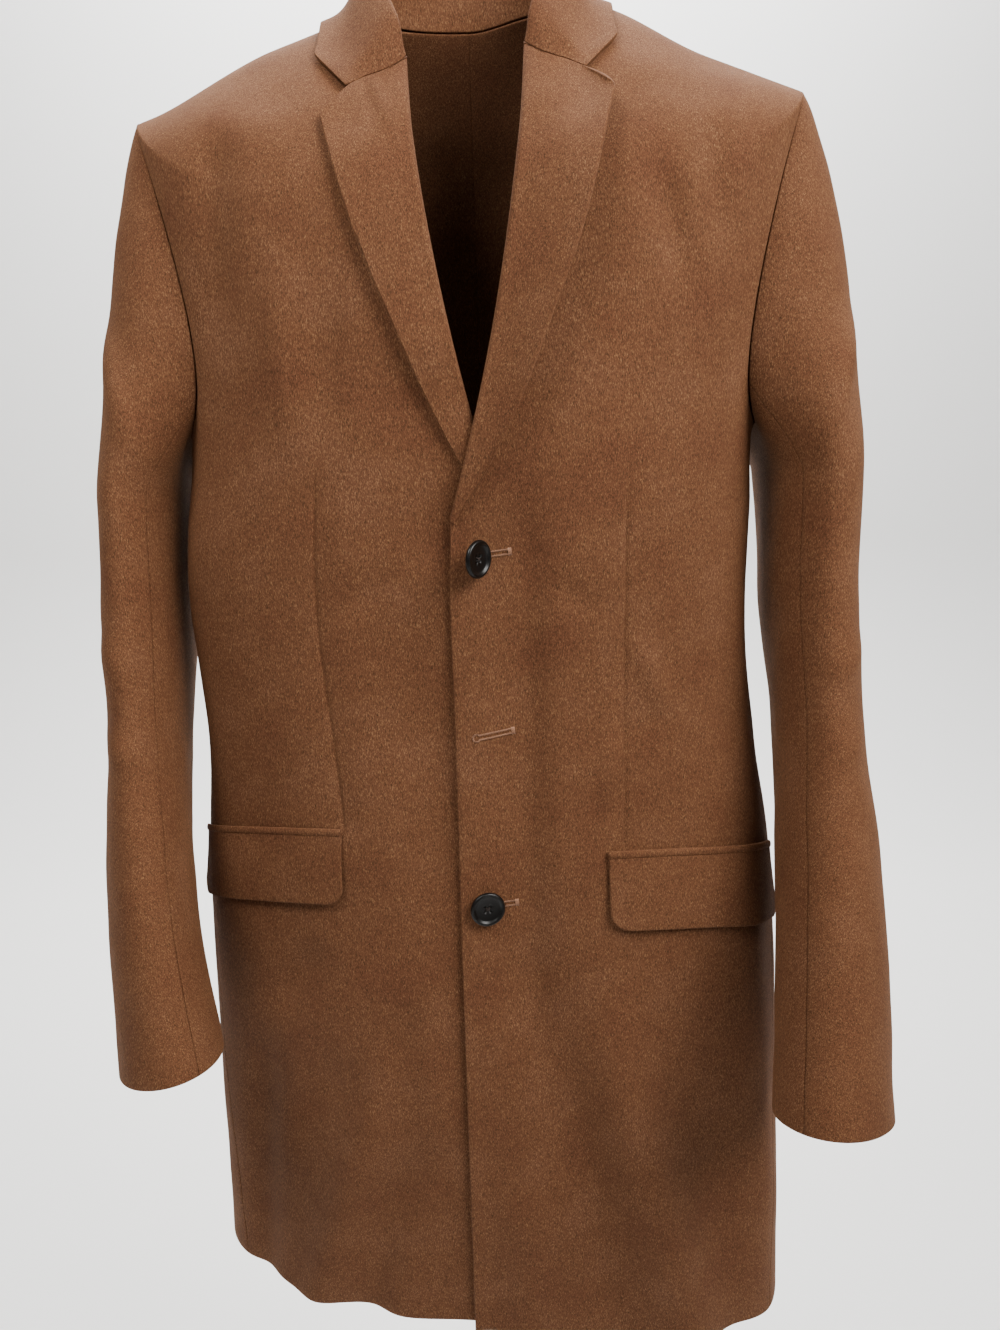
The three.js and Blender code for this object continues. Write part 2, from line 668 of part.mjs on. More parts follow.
for (const half of sides) {
  pocketStrip('pocket_jet', half, jetHeight / 2, -jetHeight / 2, false, onPanel);
  pocketStrip('pocket_flap', half, flapTop, flapTop - flapHeight, true, onPanel);
}

// The buttons: dished discs with a rim and four holes, on the centre line of the left front.
// The top one is pulled round by the cloth, so its rim touches on one side and it stands up on
// its shank of thread on the other.
const threadHoleRadius = 0.9;
const threadHoleSpacing = 2.6;
function buttonSolid() {
  const radius = buttonDiameter / 2;
  const profile = [
    [0, 0], [radius - 2.2, 0], [radius - 0.4, 1.2], [radius, 2.4], [radius - 0.9, buttonThickness],
    [radius - 2.6, buttonThickness - 0.3], [radius - 4, buttonThickness - 1.6], [0, buttonThickness - 1.9],
  ];
  const body = new THREE.LatheGeometry(profile.map(([r, h]) => new THREE.Vector2(r, h)), 28);
  body.rotateX(Math.PI / 2);
  let solid = solidOf(body);
  for (const [sx, sy] of [[1, 1], [1, -1], [-1, 1], [-1, -1]]) {
    const hole = new THREE.CylinderGeometry(threadHoleRadius, threadHoleRadius, 3 * buttonThickness, 10);
    hole.rotateX(Math.PI / 2);
    hole.translate((sx * threadHoleSpacing) / 2, (sy * threadHoleSpacing) / 2, buttonThickness / 2);
    solid = solid.subtract(solidOf(hole));
  }
  return solid;
}
const buttons = [
  { name: 'button_top', index: 0, x: -1, turned: 42, lift: 7.6 },
  { name: 'button_bottom', index: 2, x: 0, turned: 0, lift: layerGap },
];
for (const { name, index, x, turned: lean, lift } of buttons) {
  const geometry = geometryOf(buttonSolid());
  geometry.rotateY(radians(lean));
  geometry.applyMatrix4(frontFrame(x, firstButtonHeight - index * buttonSpacing, lift));
  group.add(meshOf(name, horn, geometry));
}

export default group;
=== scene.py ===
# %% [markdown]
# A man's single-breasted wool overcoat, filled out as if worn, with nobody inside it.
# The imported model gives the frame: metres, +Z up, the coat faces -Y, +X is the wearer's left,
# and the origin is the nape. Each cloth piece is made again here from the same surfaces as
# the model, much finer, with folds, rolled edges, seams and stitches, and stands for its node.

# %% Load the frame
import json
import math
import bpy
import numpy as np
from mathutils import Matrix, Vector

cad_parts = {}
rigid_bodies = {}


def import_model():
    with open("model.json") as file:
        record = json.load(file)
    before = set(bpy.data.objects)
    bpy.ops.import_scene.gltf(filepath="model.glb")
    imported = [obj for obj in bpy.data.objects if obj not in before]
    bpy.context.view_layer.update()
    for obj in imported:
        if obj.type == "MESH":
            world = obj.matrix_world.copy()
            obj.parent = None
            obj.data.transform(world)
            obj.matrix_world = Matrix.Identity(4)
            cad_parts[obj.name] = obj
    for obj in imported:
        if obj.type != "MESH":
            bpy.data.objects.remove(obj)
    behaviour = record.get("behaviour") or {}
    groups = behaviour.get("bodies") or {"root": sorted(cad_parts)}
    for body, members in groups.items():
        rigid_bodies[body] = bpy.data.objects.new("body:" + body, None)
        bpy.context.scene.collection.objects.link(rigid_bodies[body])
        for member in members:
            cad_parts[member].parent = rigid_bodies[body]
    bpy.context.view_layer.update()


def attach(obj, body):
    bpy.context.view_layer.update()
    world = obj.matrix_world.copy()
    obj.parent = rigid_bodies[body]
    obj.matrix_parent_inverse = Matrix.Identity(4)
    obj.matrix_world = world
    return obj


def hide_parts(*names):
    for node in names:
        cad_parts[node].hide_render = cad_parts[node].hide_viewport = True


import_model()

# %% [markdown]
# A coat is drafted from a few body measurements. Here they are rings round the trunk, from
# the neck seam to the hem, in millimetres: the height at the front, the side and the back,
# the half width, and the depth in front of and behind the ring's centre.

# %% The measurements of the coat
MM = 0.001


def table(names, rows):
    """Rows of numbers as one array for each named column."""
    return {name: np.array(values, float) for name, values in zip(names.split(), zip(*rows))}


BODY = table("front side back half fore aft centre_y", [
    (-66, -3, 0, 66, 62, 53, -5),
    (-98, -31, -55, 148, 86, 76, -3),
    (-150, -57, -125, 226, 105, 92, 0),
    (-262, -262, -262, 201, 112, 97, -5),
    (-340, -340, -340, 199, 109, 92, -9),
    (-430, -430, -430, 199, 104, 86, -12),
    (-520, -520, -520, 210, 105, 92, -14),
    (-600, -600, -600, 222, 107, 100, -16),
    (-760, -760, -760, 231, 107, 106, -19),
    (-958, -958, -956, 237, 107, 108, -21),
])
# the rings are numbered from 0 at the neck to 9 at the hem
HEM_RING = 9.0
# a ring with squareness 2 is an ellipse, and a larger number makes it squarer
RING_SQUARENESS = 2.25
HEIGHT_FALLOFF = 1.4
# thickness of the cloth, gap at a seam and roundness of a cut edge, in mm
CLOTH = 2.0
SEAM_GAP = 0.3
RIM = 0.8

# the roll line runs from x, z at the neck to x, z at the break, and bellies out between them
ROLL_TOP = (38.0, -49.0)
ROLL_BREAK = (-17.0, -330.0)
ROLL_BELLY = 7.6
FRONT_OVERLAP = 19.0
LAPEL_EDGE = table("x z", [
    (90, -87), (79, -125), (64, -172), (46, -215), (26, -262), (4, -305), (-17, -334),
])
SIDE_SEAM = table("ring angle", [(3.1, 86), (5, 84), (7, 80), (7.6, 72), (9, 65)])
ARMHOLE = dict(top=2.0, bottom=3.12, front=29.0, rear=25.0, middle=90.0, squareness=0.6)
SHOULDER_END = 1.45
ARMHOLE_END = 3.35

SIDES = {
    "left": dict(side=1, hem_drop=10.0, pocket_z=-565.0, pocket_x=85.0, under=0),
    "right": dict(side=-1, hem_drop=5.0, pocket_z=-547.0, pocket_x=99.0, under=1),
}
HANG = {
    "left": dict(neck_rise=7.0, shoulder_drop=0.0, waist_fullness=0.0,
                 skirt_forward=24.0, skirt_drop=24.0),
    "right": dict(neck_rise=0.0, shoulder_drop=9.0, waist_fullness=14.0,
                  skirt_forward=-12.0, skirt_drop=3.0),
}
print("rings:", len(BODY["half"]), "from neck to hem")

# %% [markdown]
# Curves between the measurements are cubic, as a cutter's French curve would draw them. The
# functions here work on whole grids of points at once, so that a finely made coat is quick.

# %% Curves through a table
ANGLE_STEP = 0.4
RING_STEP = 0.01


def mix(a, b, t):
    """The value a share t of the way from a to b."""
    return a + (b - a) * t


def smooth(t):
    """From 0 to 1, starting and ending softly."""
    held = np.clip(t, 0.0, 1.0)
    return held * held * (3 - 2 * held)


def rise(value, start, end):
    """From 0 where the value is at the start to 1 where it is at the end, softly."""
    return smooth((value - start) / (end - start))


def unit(vectors):
    """Vectors of length one."""
    return vectors / np.maximum(np.linalg.norm(vectors, axis=-1, keepdims=True), 1e-9)


def signed_power(value, power):
    """A power that keeps the sign."""
    return np.sign(value) * np.abs(value) ** power


def hermite(a, b, slope_a, slope_b, t):
    """A cubic from a to b with the given slopes."""
    t2 = t * t
    t3 = t2 * t
    return (a * (2 * t3 - 3 * t2 + 1) + slope_a * (t3 - 2 * t2 + t)
            + b * (3 * t2 - 2 * t3) + slope_b * (t3 - t2))


def column(values, place):
    """A smooth value through evenly spaced values, at a fractional place."""
    slopes = np.gradient(values)
    row = np.clip(np.floor(place), 0, len(values) - 2).astype(int)
    return hermite(values[row], values[row + 1], slopes[row], slopes[row + 1], place - row)


def ring_value(key, place, side_weight):
    """One measurement of a ring. The shoulder keeps its edge at the side."""
    values = BODY[key]
    before, here, after = values[1], values[2], values[3]
    even = (after - before) / 2
    slope_in = (here - values[0]) / 2
    slope_out = (values[4] - here) / 2
    above = hermite(before, here, slope_in, mix(even, here - before, side_weight), place - 1)
    below = hermite(here, after, mix(even, after - here, side_weight), slope_out, place - 2)
    near_shoulder = np.where(place <= 2, above, below)
    return np.where((place <= 1) | (place >= 3), column(values, place), near_shoulder)


def body_point(angle, ring):
    """Points of the coat's outer face: angle 0 is the centre front, 90 the side, 180 the back."""
    angle, ring = np.broadcast_arrays(np.asarray(angle, float), np.asarray(ring, float))
    sine = np.sin(np.radians(angle))
    cosine = np.cos(np.radians(angle))
    weight = sine ** 4
    power = 2 / RING_SQUARENESS
    depth = np.where(cosine > 0, ring_value("fore", ring, weight), ring_value("aft", ring, weight))
    end = np.where(cosine > 0, ring_value("front", ring, weight), ring_value("back", ring, weight))
    side = ring_value("side", ring, weight)
    return np.stack([
        ring_value("half", ring, weight) * signed_power(sine, power),
        ring_value("centre_y", ring, weight) - depth * signed_power(cosine, power),
        side + (end - side) * np.abs(cosine) ** HEIGHT_FALLOFF,
    ], axis=-1)


def normal_of(surface, a, b, step_a, step_b):
    """The outward normal of a surface given by a function of two numbers."""
    along_a = surface(a + step_a, b) - surface(a - step_a, b)
    along_b = surface(a, b + step_b) - surface(a, b - step_b)
    return unit(np.cross(along_b, along_a))


def body_normal(angle, ring):
    """The way the coat's outer face looks at the same places."""
    inside = np.clip(ring, RING_STEP, HEM_RING - RING_STEP)
    return normal_of(body_point, angle, inside, ANGLE_STEP, RING_STEP)


# %% [markdown]
# A tailor marks a place on a front by how far it is from the centre and how far down. This
# finds the angle and the ring of such a place by trying, measuring and correcting.

# %% Places by x and z
SEARCH = dict(first_angle=10.0, rounds=22, damping=0.7, steps=2, longest=0.6, flattest=-8.0)
BELOW_HEM = 0.4


def front_at(x, z):
    """The angle and ring of the points of the front at the given x and z."""
    x, z = np.broadcast_arrays(np.asarray(x, float), np.asarray(z, float))
    ring = np.interp(-z, -BODY["front"], np.arange(len(BODY["front"])))
    angle = np.full(x.shape, SEARCH["first_angle"])
    for _ in range(SEARCH["rounds"]):
        weight = np.sin(np.radians(angle)) ** 4
        half = ring_value("half", ring, weight)
        sine = np.clip(signed_power(x / half, RING_SQUARENESS / 2), -0.999, 0.999)
        angle = mix(angle, np.degrees(np.arcsin(sine)), SEARCH["damping"])
        for _ in range(SEARCH["steps"]):
            here = body_point(angle, ring)[..., 2]
            slope = (body_point(angle, ring + RING_STEP)[..., 2] - here) / RING_STEP
            change = (z - here) / np.minimum(slope, SEARCH["flattest"])
            change = np.clip(change, -SEARCH["longest"], SEARCH["longest"])
            ring = np.clip(ring + change, 0.0, HEM_RING + BELOW_HEM)
    return angle, ring


WANTED = np.array([[0.0, -355.0], [60.0, -200.0], [90.0, -600.0]])
FOUND = body_point(*front_at(WANTED[:, 0], WANTED[:, 1]))[:, [0, 2]]
print("front places found to within", round(float(np.abs(FOUND - WANTED).max()), 3), "mm")

# %% [markdown]
# A worn coat never hangs evenly. The wearer's right shoulder sits lower and the right side is
# fuller at the waist, and the left skirt swings forward and drops. Everything is made on an
# even left half first, and then moved like this and mirrored for the right.

# %% The uneven hang


def hung(points, name):
    """Points of the left half, moved as the worn coat hangs on the named side."""
    hang = HANG[name]
    x, y, z = points[..., 0], points[..., 1], points[..., 2]
    beside = rise(x, 0, 205)
    at_shoulder = rise(x, 130, 215)
    high = rise(z, -330, -180)
    low = rise(-z, 480, 940)
    at_neck = rise(x, 0, 45) * (1 - rise(x, 92, 162)) * rise(z, -270, -110)
    at_waist = np.exp(-(((z + 390) / 110) ** 2))
    towards_front = 1 + 0.7 * rise(-y, 0, 60)
    return np.stack([
        x + hang["waist_fullness"] * beside * at_waist * towards_front,
        y - hang["skirt_forward"] * beside * low,
        z + hang["neck_rise"] * at_neck - hang["shoulder_drop"] * at_shoulder * high
        - hang["skirt_drop"] * beside * low,
    ], axis=-1)


def mirrored(grid, name):
    """The grid on its own side of the coat, with its faces still outwards."""
    if name == "left":
        return grid
    return (grid * np.array([-1.0, 1.0, 1.0]))[:, ::-1]


print("left skirt at the side swings forward", HANG["left"]["skirt_forward"], "mm")

# %% [markdown]
# Folds show where the cloth is pushed or has too much room. Each is a line, as seen square on,
# with how far it stands out (or in, if negative) and how wide it is on either side, so that
# one flank is steep and the other is soft. The cloth runs on through a seam, so folds are one
# field over the whole body, and whatever lies on a panel is moved with it.

# %% Folds
FOLD_DEPTH = 2.2
# each line's (x, z) points in mm from its start to its end, how far it stands out as a share of
# FOLD_DEPTH, its width in mm on its one side and on the other, and the share of the line over
# which it fades in and out
FRONT_FOLDS = [
    ([(112, -98), (127, -148), (138, -210)], -2.6, 10, 14, 0.4, 0.5),
    ([(150, -84), (158, -135), (164, -190)], -1.8, 10, 12, 0.3, 0.5),
    ([(29, -290), (30, -390), (29, -480), (29, -600), (32, -700), (36, -790)], -3.8, 16, 30, 0.15, 0.3),
    ([(-26, -400), (-30, -520), (-34, -640)], -1.8, 16, 26, 0.4, 0.4),
    ([(92, -470), (88, -500), (80, -540)], 1.6, 8, 7, 0.4, 0.4),
    ([(104, -405), (116, -440), (128, -478)], 1.8, 8, 8, 0.4, 0.4),
    ([(78, -600), (86, -700), (102, -790), (130, -875), (156, -975)], 4.6, 27, 23, 0.6, 0.0),
    ([(44, -610), (52, -720), (74, -835), (100, -975)], -3.7, 23, 25, 0.6, 0.0),
    ([(122, -625), (138, -735), (162, -845), (184, -975)], -2.4, 24, 29, 0.6, 0.0),
    ([(20, -780), (22, -860), (26, -975)], 2.4, 18, 18, 0.5, 0.0),
    ([(186, -560), (196, -700), (208, -860), (214, -980)], 3.5, 16, 22, 0.3, 0.0),
    ([(-118, -628), (-140, -662), (-178, -722)], -2.4, 15, 12, 0.35, 0.5),
    ([(-98, -716), (-118, -746), (-146, -790), (-166, -840)], -2.6, 14, 16, 0.4, 0.5),
    ([(-50, -780), (-62, -818), (-84, -880), (-104, -965)], -2.9, 15, 20, 0.4, 0.0),
    ([(-60, -690), (-92, -780), (-126, -880), (-150, -965)], 3.6, 18, 16, 0.35, 0.0),
    ([(-168, -690), (-184, -790), (-194, -880), (-200, -965)], -3.4, 15, 15, 0.35, 0.0),
    ([(-156, -78), (-163, -125), (-167, -190), (-166, -250)], -2.3, 16, 12, 0.2, 0.5),
    ([(-118, -150), (-122, -220), (-120, -300)], 1.5, 12, 14, 0.4, 0.5),
    ([(-86, -160), (-92, -230), (-98, -310)], -1.3, 12, 14, 0.4, 0.5),
    ([(-40, -358), (-76, -382), (-112, -392)], -0.8, 11, 12, 0.4, 0.5),
    ([(36, -366), (70, -388), (96, -394)], -0.8, 10, 12, 0.4, 0.5),
    ([(-40, -620), (-46, -720), (-42, -840)], 1.8, 15, 15, 0.4, 0.5),
]
BACK_FOLDS = [
    ([(-92, -96), (-112, -180), (-120, -300)], -2.6, 14, 12, 0.4, 0.5),
    ([(88, -100), (110, -190), (116, -310)], -2.8, 12, 15, 0.4, 0.5),
    ([(-128, -120), (-146, -200), (-150, -290)], 2.0, 12, 12, 0.4, 0.5),
    ([(132, -120), (147, -190), (152, -300)], 2.2, 12, 11, 0.4, 0.5),
    ([(-40, -392), (-92, -408), (-160, -398)], -2.2, 11, 14, 0.4, 0.4),
    ([(34, -412), (88, -420), (158, -404)], -2.0, 12, 13, 0.4, 0.4),
    ([(-52, -446), (-100, -458), (-150, -470)], 1.6, 11, 11, 0.4, 0.4),
    ([(-44, -540), (-56, -700), (-78, -850), (-92, -965)], -4.6, 20, 24, 0.35, 0.0),
    ([(52, -580), (64, -720), (88, -850), (104, -965)], -4.2, 22, 20, 0.35, 0.0),
    ([(-112, -600), (-130, -740), (-146, -965)], 4.2, 22, 20, 0.35, 0.0),
    ([(118, -560), (138, -720), (158, -965)], 4.6, 20, 22, 0.35, 0.0),
    ([(-180, -640), (-190, -780), (-198, -965)], -3.4, 16, 16, 0.35, 0.0),
    ([(176, -620), (188, -780), (200, -965)], -3.0, 16, 18, 0.35, 0.0),
]
SLEEVE_FRONT_FOLDS = [
    ([(-230, -156), (-216, -182), (-200, -212)], 1.2, 7, 9, 0.4, 0.4),
    ([(-228, -186), (-214, -210), (-199, -240)], -1.5, 7, 8, 0.4, 0.4),
    ([(-228, -214), (-214, -238), (-200, -264)], 1.5, 7, 8, 0.4, 0.4),
    ([(-228, -246), (-216, -268), (-204, -292)], -1.5, 7, 8, 0.4, 0.4),
    ([(-268, -418), (-252, -440), (-234, -450)], -1.5, 10, 14, 0.5, 0.5),
    ([(-268, -466), (-252, -480), (-232, -500)], -1.7, 10, 14, 0.5, 0.5),
    ([(-266, -515), (-250, -534), (-234, -560)], -1.3, 11, 14, 0.5, 0.5),
    ([(-226, -560), (-240, -610), (-262, -640)], 2.0, 10, 10, 0.4, 0.4),
    ([(-268, -600), (-246, -650), (-220, -690)], -1.8, 10, 12, 0.4, 0.4),
    ([(196, -190), (204, -240), (214, -310), (222, -380)], -1.6, 9, 10, 0.4, 0.4),
    ([(236, -200), (226, -240), (214, -272)], 1.4, 9, 9, 0.4, 0.4),
    ([(264, -405), (250, -420), (232, -434)], -1.4, 10, 14, 0.5, 0.5),
    ([(268, -448), (252, -468), (232, -484)], -1.7, 10, 14, 0.5, 0.5),
    ([(266, -500), (252, -516), (234, -545)], -1.3, 11, 14, 0.5, 0.5),
    ([(232, -560), (238, -620), (256, -680)], 1.8, 10, 10, 0.4, 0.4),
    ([(272, -600), (252, -650), (228, -700)], -1.6, 10, 12, 0.4, 0.4),
]
SLEEVE_BACK_FOLDS = [
    ([(-262, -180), (-240, -240), (-224, -300)], -2.2, 9, 12, 0.4, 0.4),
    ([(-266, -404), (-250, -428), (-234, -440)], -1.5, 11, 13, 0.5, 0.5),
    ([(-268, -468), (-252, -482), (-234, -500)], -1.7, 11, 13, 0.5, 0.5),
    ([(262, -190), (242, -250), (224, -310)], -2.2, 9, 12, 0.4, 0.4),
    ([(266, -414), (252, -436), (234, -450)], -1.7, 11, 13, 0.5, 0.5),
    ([(266, -474), (250, -490), (234, -500)], -1.4, 11, 13, 0.5, 0.5),
]

# %% [markdown]
# A fold's height falls off on both sides of its line like a bell, which is how thick fulled
# cloth bends: it has no sharp creases. On top of the folds the whole cloth is a little uneven,
# from waves in many directions, because worn wool is never flat.

# %% Heights of the cloth
WAVES = 9
# how far the lumps stand out and how large they are, in mm
LUMPS = [(0.65, 110), (0.22, 40)]
BODY_SEED = 5
SLEEVE_SEED = 11


def fold_heights(points, folds):
    """How far the folds push each point out, in mm."""
    seen = points[..., [0, 2]]
    total = np.zeros(seen.shape[:-1])
    for line, height, width_one, width_two, fade_in, fade_out in folds:
        line = np.array(line, float)
        lengths = np.linalg.norm(np.diff(line, axis=0), axis=1)
        starts = np.concatenate([[0.0], np.cumsum(lengths)])
        nearest = np.full(total.shape, np.inf)
        offset = np.zeros(total.shape)
        along = np.zeros(total.shape)
        for index, (start, end) in enumerate(zip(line[:-1], line[1:])):
            span = end - start
            share = np.clip(((seen - start) @ span) / (span @ span), 0, 1)
            gap = seen - (start + share[..., None] * span)
            distance = np.linalg.norm(gap, axis=-1)
            which = np.sign(span[0] * gap[..., 1] - span[1] * gap[..., 0])
            closer = distance < nearest
            nearest = np.where(closer, distance, nearest)
            offset = np.where(closer, which * distance, offset)
            along = np.where(closer, (starts[index] + share * lengths[index]) / starts[-1], along)
        width = np.where(offset > 0, width_one, width_two)
        strength = smooth(along / fade_in)
        if fade_out:
            strength = strength * smooth((1 - along) / fade_out)
        total += FOLD_DEPTH * height * strength * np.exp(-((offset / width) ** 2))
    return total


def lumps(points, size, seed):
    """Soft unevenness, mostly from -1 to 1, with swells of about that size in mm."""
    chance = np.random.default_rng(seed)
    total = np.zeros(points.shape[:-1])
    for _ in range(WAVES):
        direction = unit(chance.normal(size=3) * np.array([1.0, 1.0, 0.6]))
        length = size * chance.uniform(0.7, 1.5)
        total += np.sin(points @ direction * (2 * math.pi / length) + chance.uniform(0, 2 * math.pi))
    return total / math.sqrt(WAVES)


def relief(points, normals, front_folds, back_folds, seed):
    """How far the folds that face the points' way, and small lumps, push them out, in mm."""
    facing = normals[..., 1]
    to_front = smooth(0.25 - facing / 0.7)
    to_back = smooth(0.25 + facing / 0.7)
    heights = fold_heights(points, front_folds) * to_front
    heights = heights + fold_heights(points, back_folds) * to_back
    for order, (height, size) in enumerate(LUMPS):
        heights = heights + height * lumps(points, size, seed + order)
    return heights


def body_relief(points, normals):
    """How far the folds and lumps push the points of the body out, in mm."""
    return relief(points, normals, FRONT_FOLDS, BACK_FOLDS, BODY_SEED)


def sleeve_relief(points, normals):
    """The same for the points of the sleeves."""
    return relief(points, normals, SLEEVE_FRONT_FOLDS, SLEEVE_BACK_FOLDS, SLEEVE_SEED)


print("folds on the body:", len(FRONT_FOLDS) + len(BACK_FOLDS), "and on the sleeves:",
      len(SLEEVE_FRONT_FOLDS) + len(SLEEVE_BACK_FOLDS))

# %% [markdown]
# Every cloth piece is a real sheet: an outer face, an inner face and a rounded rim between
# them, closed all round. Two such rims side by side make the soft groove of a pressed seam.

# %% Closed sheets
PIECES = {}
RIM_STEPS = 6


def smooth_object(name, points, faces):
    """A smooth-shaded object from points in metres, put in the scene."""
    mesh = bpy.data.meshes.new(name)
    mesh.from_pydata(points, [], faces)
    mesh.polygons.foreach_set("use_smooth", [True] * len(mesh.polygons))
    mesh.update()
    made = bpy.data.objects.new(name, mesh)
    bpy.context.scene.collection.objects.link(made)
    return made


def border(rows, columns):
    """The (row, column) pairs round the border of a grid, in the order of its faces."""
    top = [(0, j) for j in range(columns)]
    far = [(i, columns - 1) for i in range(1, rows)]
    bottom = [(rows - 1, j) for j in range(columns - 2, -1, -1)]
    near = [(i, 0) for i in range(rows - 2, 0, -1)]
    return np.array(top + far + bottom + near)


def shell(name, outer, thickness=CLOTH, rim=RIM):
    """A closed sheet from the grid of points of its outer face, kept as a piece."""
    rows, columns = outer.shape[:2]
    down = np.gradient(outer, axis=0)
    along = np.gradient(outer, axis=1)
    normal = unit(np.cross(down, along))
    outwards = np.zeros_like(outer)
    outwards[0] -= unit(down[0])
    outwards[-1] += unit(down[-1])
    outwards[:, 0] -= unit(along[:, 0])
    outwards[:, -1] += unit(along[:, -1])
    outer = outer - outwards * rim
    thick = np.broadcast_to(np.asarray(thickness, float), outer.shape[:2])[..., None]
    inner = outer - normal * thick
    loop = border(rows, columns)
    at = (loop[:, 0], loop[:, 1])
    index = np.arange(rows * columns).reshape(rows, columns)
    rings = [index[at]]
    points = [outer.reshape(-1, 3), inner.reshape(-1, 3)]
    start = 2 * rows * columns
    for turn in np.linspace(0, math.pi, RIM_STEPS + 1)[1:-1]:
        points.append(outer[at] - normal[at] * thick[at] / 2 * (1 - math.cos(turn))
                      + outwards[at] * rim * math.sin(turn))
        rings.append(np.arange(start, start + len(loop)))
        start += len(loop)
    rings.append(index[at] + rows * columns)
    a, b, c, d = index[:-1, :-1], index[1:, :-1], index[1:, 1:], index[:-1, 1:]
    faces = [np.stack([a, b, c, d], -1).reshape(-1, 4),
             (np.stack([a, d, c, b], -1) + rows * columns).reshape(-1, 4)]
    for first, second in zip(rings[:-1], rings[1:]):
        faces.append(np.stack([first, np.roll(first, -1), np.roll(second, -1), second], -1))
    made = smooth_object(name, (np.concatenate(points) * MM).tolist(), np.concatenate(faces).tolist())
    PIECES[name] = made


print("sheets are", CLOTH, "mm thick with rims rounded over", RIM, "mm")

# %% [markdown]
# The fronts and the backs are cut as panels, from the centre edge to the side edge, which
# follows the shoulder seam, the armhole and then the side seam. So each row of a panel's grid
# ends on one of these three edges, and neighbours share their edges and leave a fine gap.

# %% The edges of the panels
HALF_GAP = 0.05
FRONT_ROWS = dict(shoulder=48, armhole=72, side=190)
BACK_ROWS = dict(shoulder=40, armhole=60, side=150)


def panel_rows(shoulder, armhole, side):
    """The rows of a panel: which edge they end on, the ring at the centre, the place on the edge."""
    parts = []
    spans = [
        ("shoulder", 0.0, SHOULDER_END, shoulder),
        ("armhole", SHOULDER_END, ARMHOLE_END, armhole),
        ("side", ARMHOLE_END, HEM_RING, side),
    ]
    for part, start, end, count in spans:
        first = 0 if part == "shoulder" else 1
        for place in np.linspace(0, 1, count + 1)[first:]:
            parts.append((part, mix(start, end, place), place))
    return parts


def armhole_place(turn, reach):
    """The angle and ring of a point of the armhole: turn 0 is its top and 180 its bottom."""
    swing = np.abs(np.sin(np.radians(turn))) ** ARMHOLE["squareness"]
    ring = mix(ARMHOLE["top"], ARMHOLE["bottom"], (1 - np.cos(np.radians(turn))) / 2)
    return ARMHOLE["middle"] + reach * swing, ring


def side_edge(part, place, reach):
    """The angle and ring of the side edge of a panel at one row."""
    trim = math.copysign(HALF_GAP, reach)
    if part == "shoulder":
        return ARMHOLE["middle"] + 2 * trim, 2.0 * place
    if part == "armhole":
        angle, ring = armhole_place(180 * place, reach)
        return angle + trim, ring
    ring = mix(ARMHOLE["bottom"], HEM_RING, place)
    rings, angles = SIDE_SEAM["ring"], SIDE_SEAM["angle"]
    row = int(np.clip(np.searchsorted(rings, ring) - 1, 0, len(rings) - 2))
    on_seam = mix(angles[row], angles[row + 1], rise(ring, rings[row], rings[row + 1]))
    return mix(ARMHOLE["middle"], on_seam, rise(place, 0, 0.12)) + trim, ring


print("rows of a front and a back:", len(panel_rows(**FRONT_ROWS)), len(panel_rows(**BACK_ROWS)))

# %% [markdown]
# A front turns over along the roll line above the break, and hangs straight below it, where
# the left one laps over the right one. The lower layer is tucked in there, so that the two
# lie on each other without touching. Cloth is held flat where the sleeve is sewn to it.

# %% The front edge
# how deep the right front is tucked in above the break, and from 60 mm below it, in mm
TUCK = (6.2, 3.4)


def roll_x(z):
    """The roll line, along which a lapel turns over."""
    t = np.clip((ROLL_TOP[1] - z) / (ROLL_TOP[1] - ROLL_BREAK[1]), 0, 1)
    return mix(ROLL_TOP[0], ROLL_BREAK[0], t) + ROLL_BELLY * 4 * t * (1 - t)


def edge_x(z):
    """The front edge: the roll line above the break, and the lapped edge below it."""
    below = mix(ROLL_BREAK[0], -FRONT_OVERLAP, rise(-z, -ROLL_BREAK[1], 60 - ROLL_BREAK[1]))
    return np.where(z > ROLL_BREAK[1], roll_x(z), below)


def tuck_at(x, z):
    """How far the right front is tucked in, to pass under the left one."""
    near_edge = 1 - rise(x, 24, 84)
    below = rise(-z, 215, 265)
    return near_edge * below * mix(*TUCK, rise(-z, -ROLL_BREAK[1], 60 - ROLL_BREAK[1]))


def calm_at_armhole(parts, across):
    """Folds die out towards the armhole seam, which the sleeve is sewn to."""
    armhole = np.array([part == "armhole" for part, _, _ in parts])[:, None]
    return np.where(armhole, rise(1 - across, 0, 0.16), 1.0)


print("the front edge is at x", round(float(edge_x(-400.0)), 1), "mm below the top buttonhole")

# %% [markdown]
# On the real coat a dart runs from the chest to the pocket and shapes the waist. It could be a
# line in the colour, but a pressed dart is a fine groove that catches the light. So one column
# of the front's grid follows the dart, with close columns beside it, and is pressed in.

# %% Columns of a front
FRONT_COLUMNS = 73
PANEL_WIDTH = 220.0
DART_X = 98.0
DART_COLUMN = 0.46
DART_RANGE = (0.3, 0.62)
DART = dict(top=-285.0, fade=60.0, depth=1.3, width=1.0, hollow=1.6, hollow_width=10.0)
# columns beside the dart, and how far from it the even columns stop, in mm
CLOSE_COLUMNS = np.array([-2.6, -1.6, -0.8, 0.0, 0.8, 1.6, 2.6])
CLEAR_OF_DART = 3.6
TRIES = np.linspace(0, 1, 41)


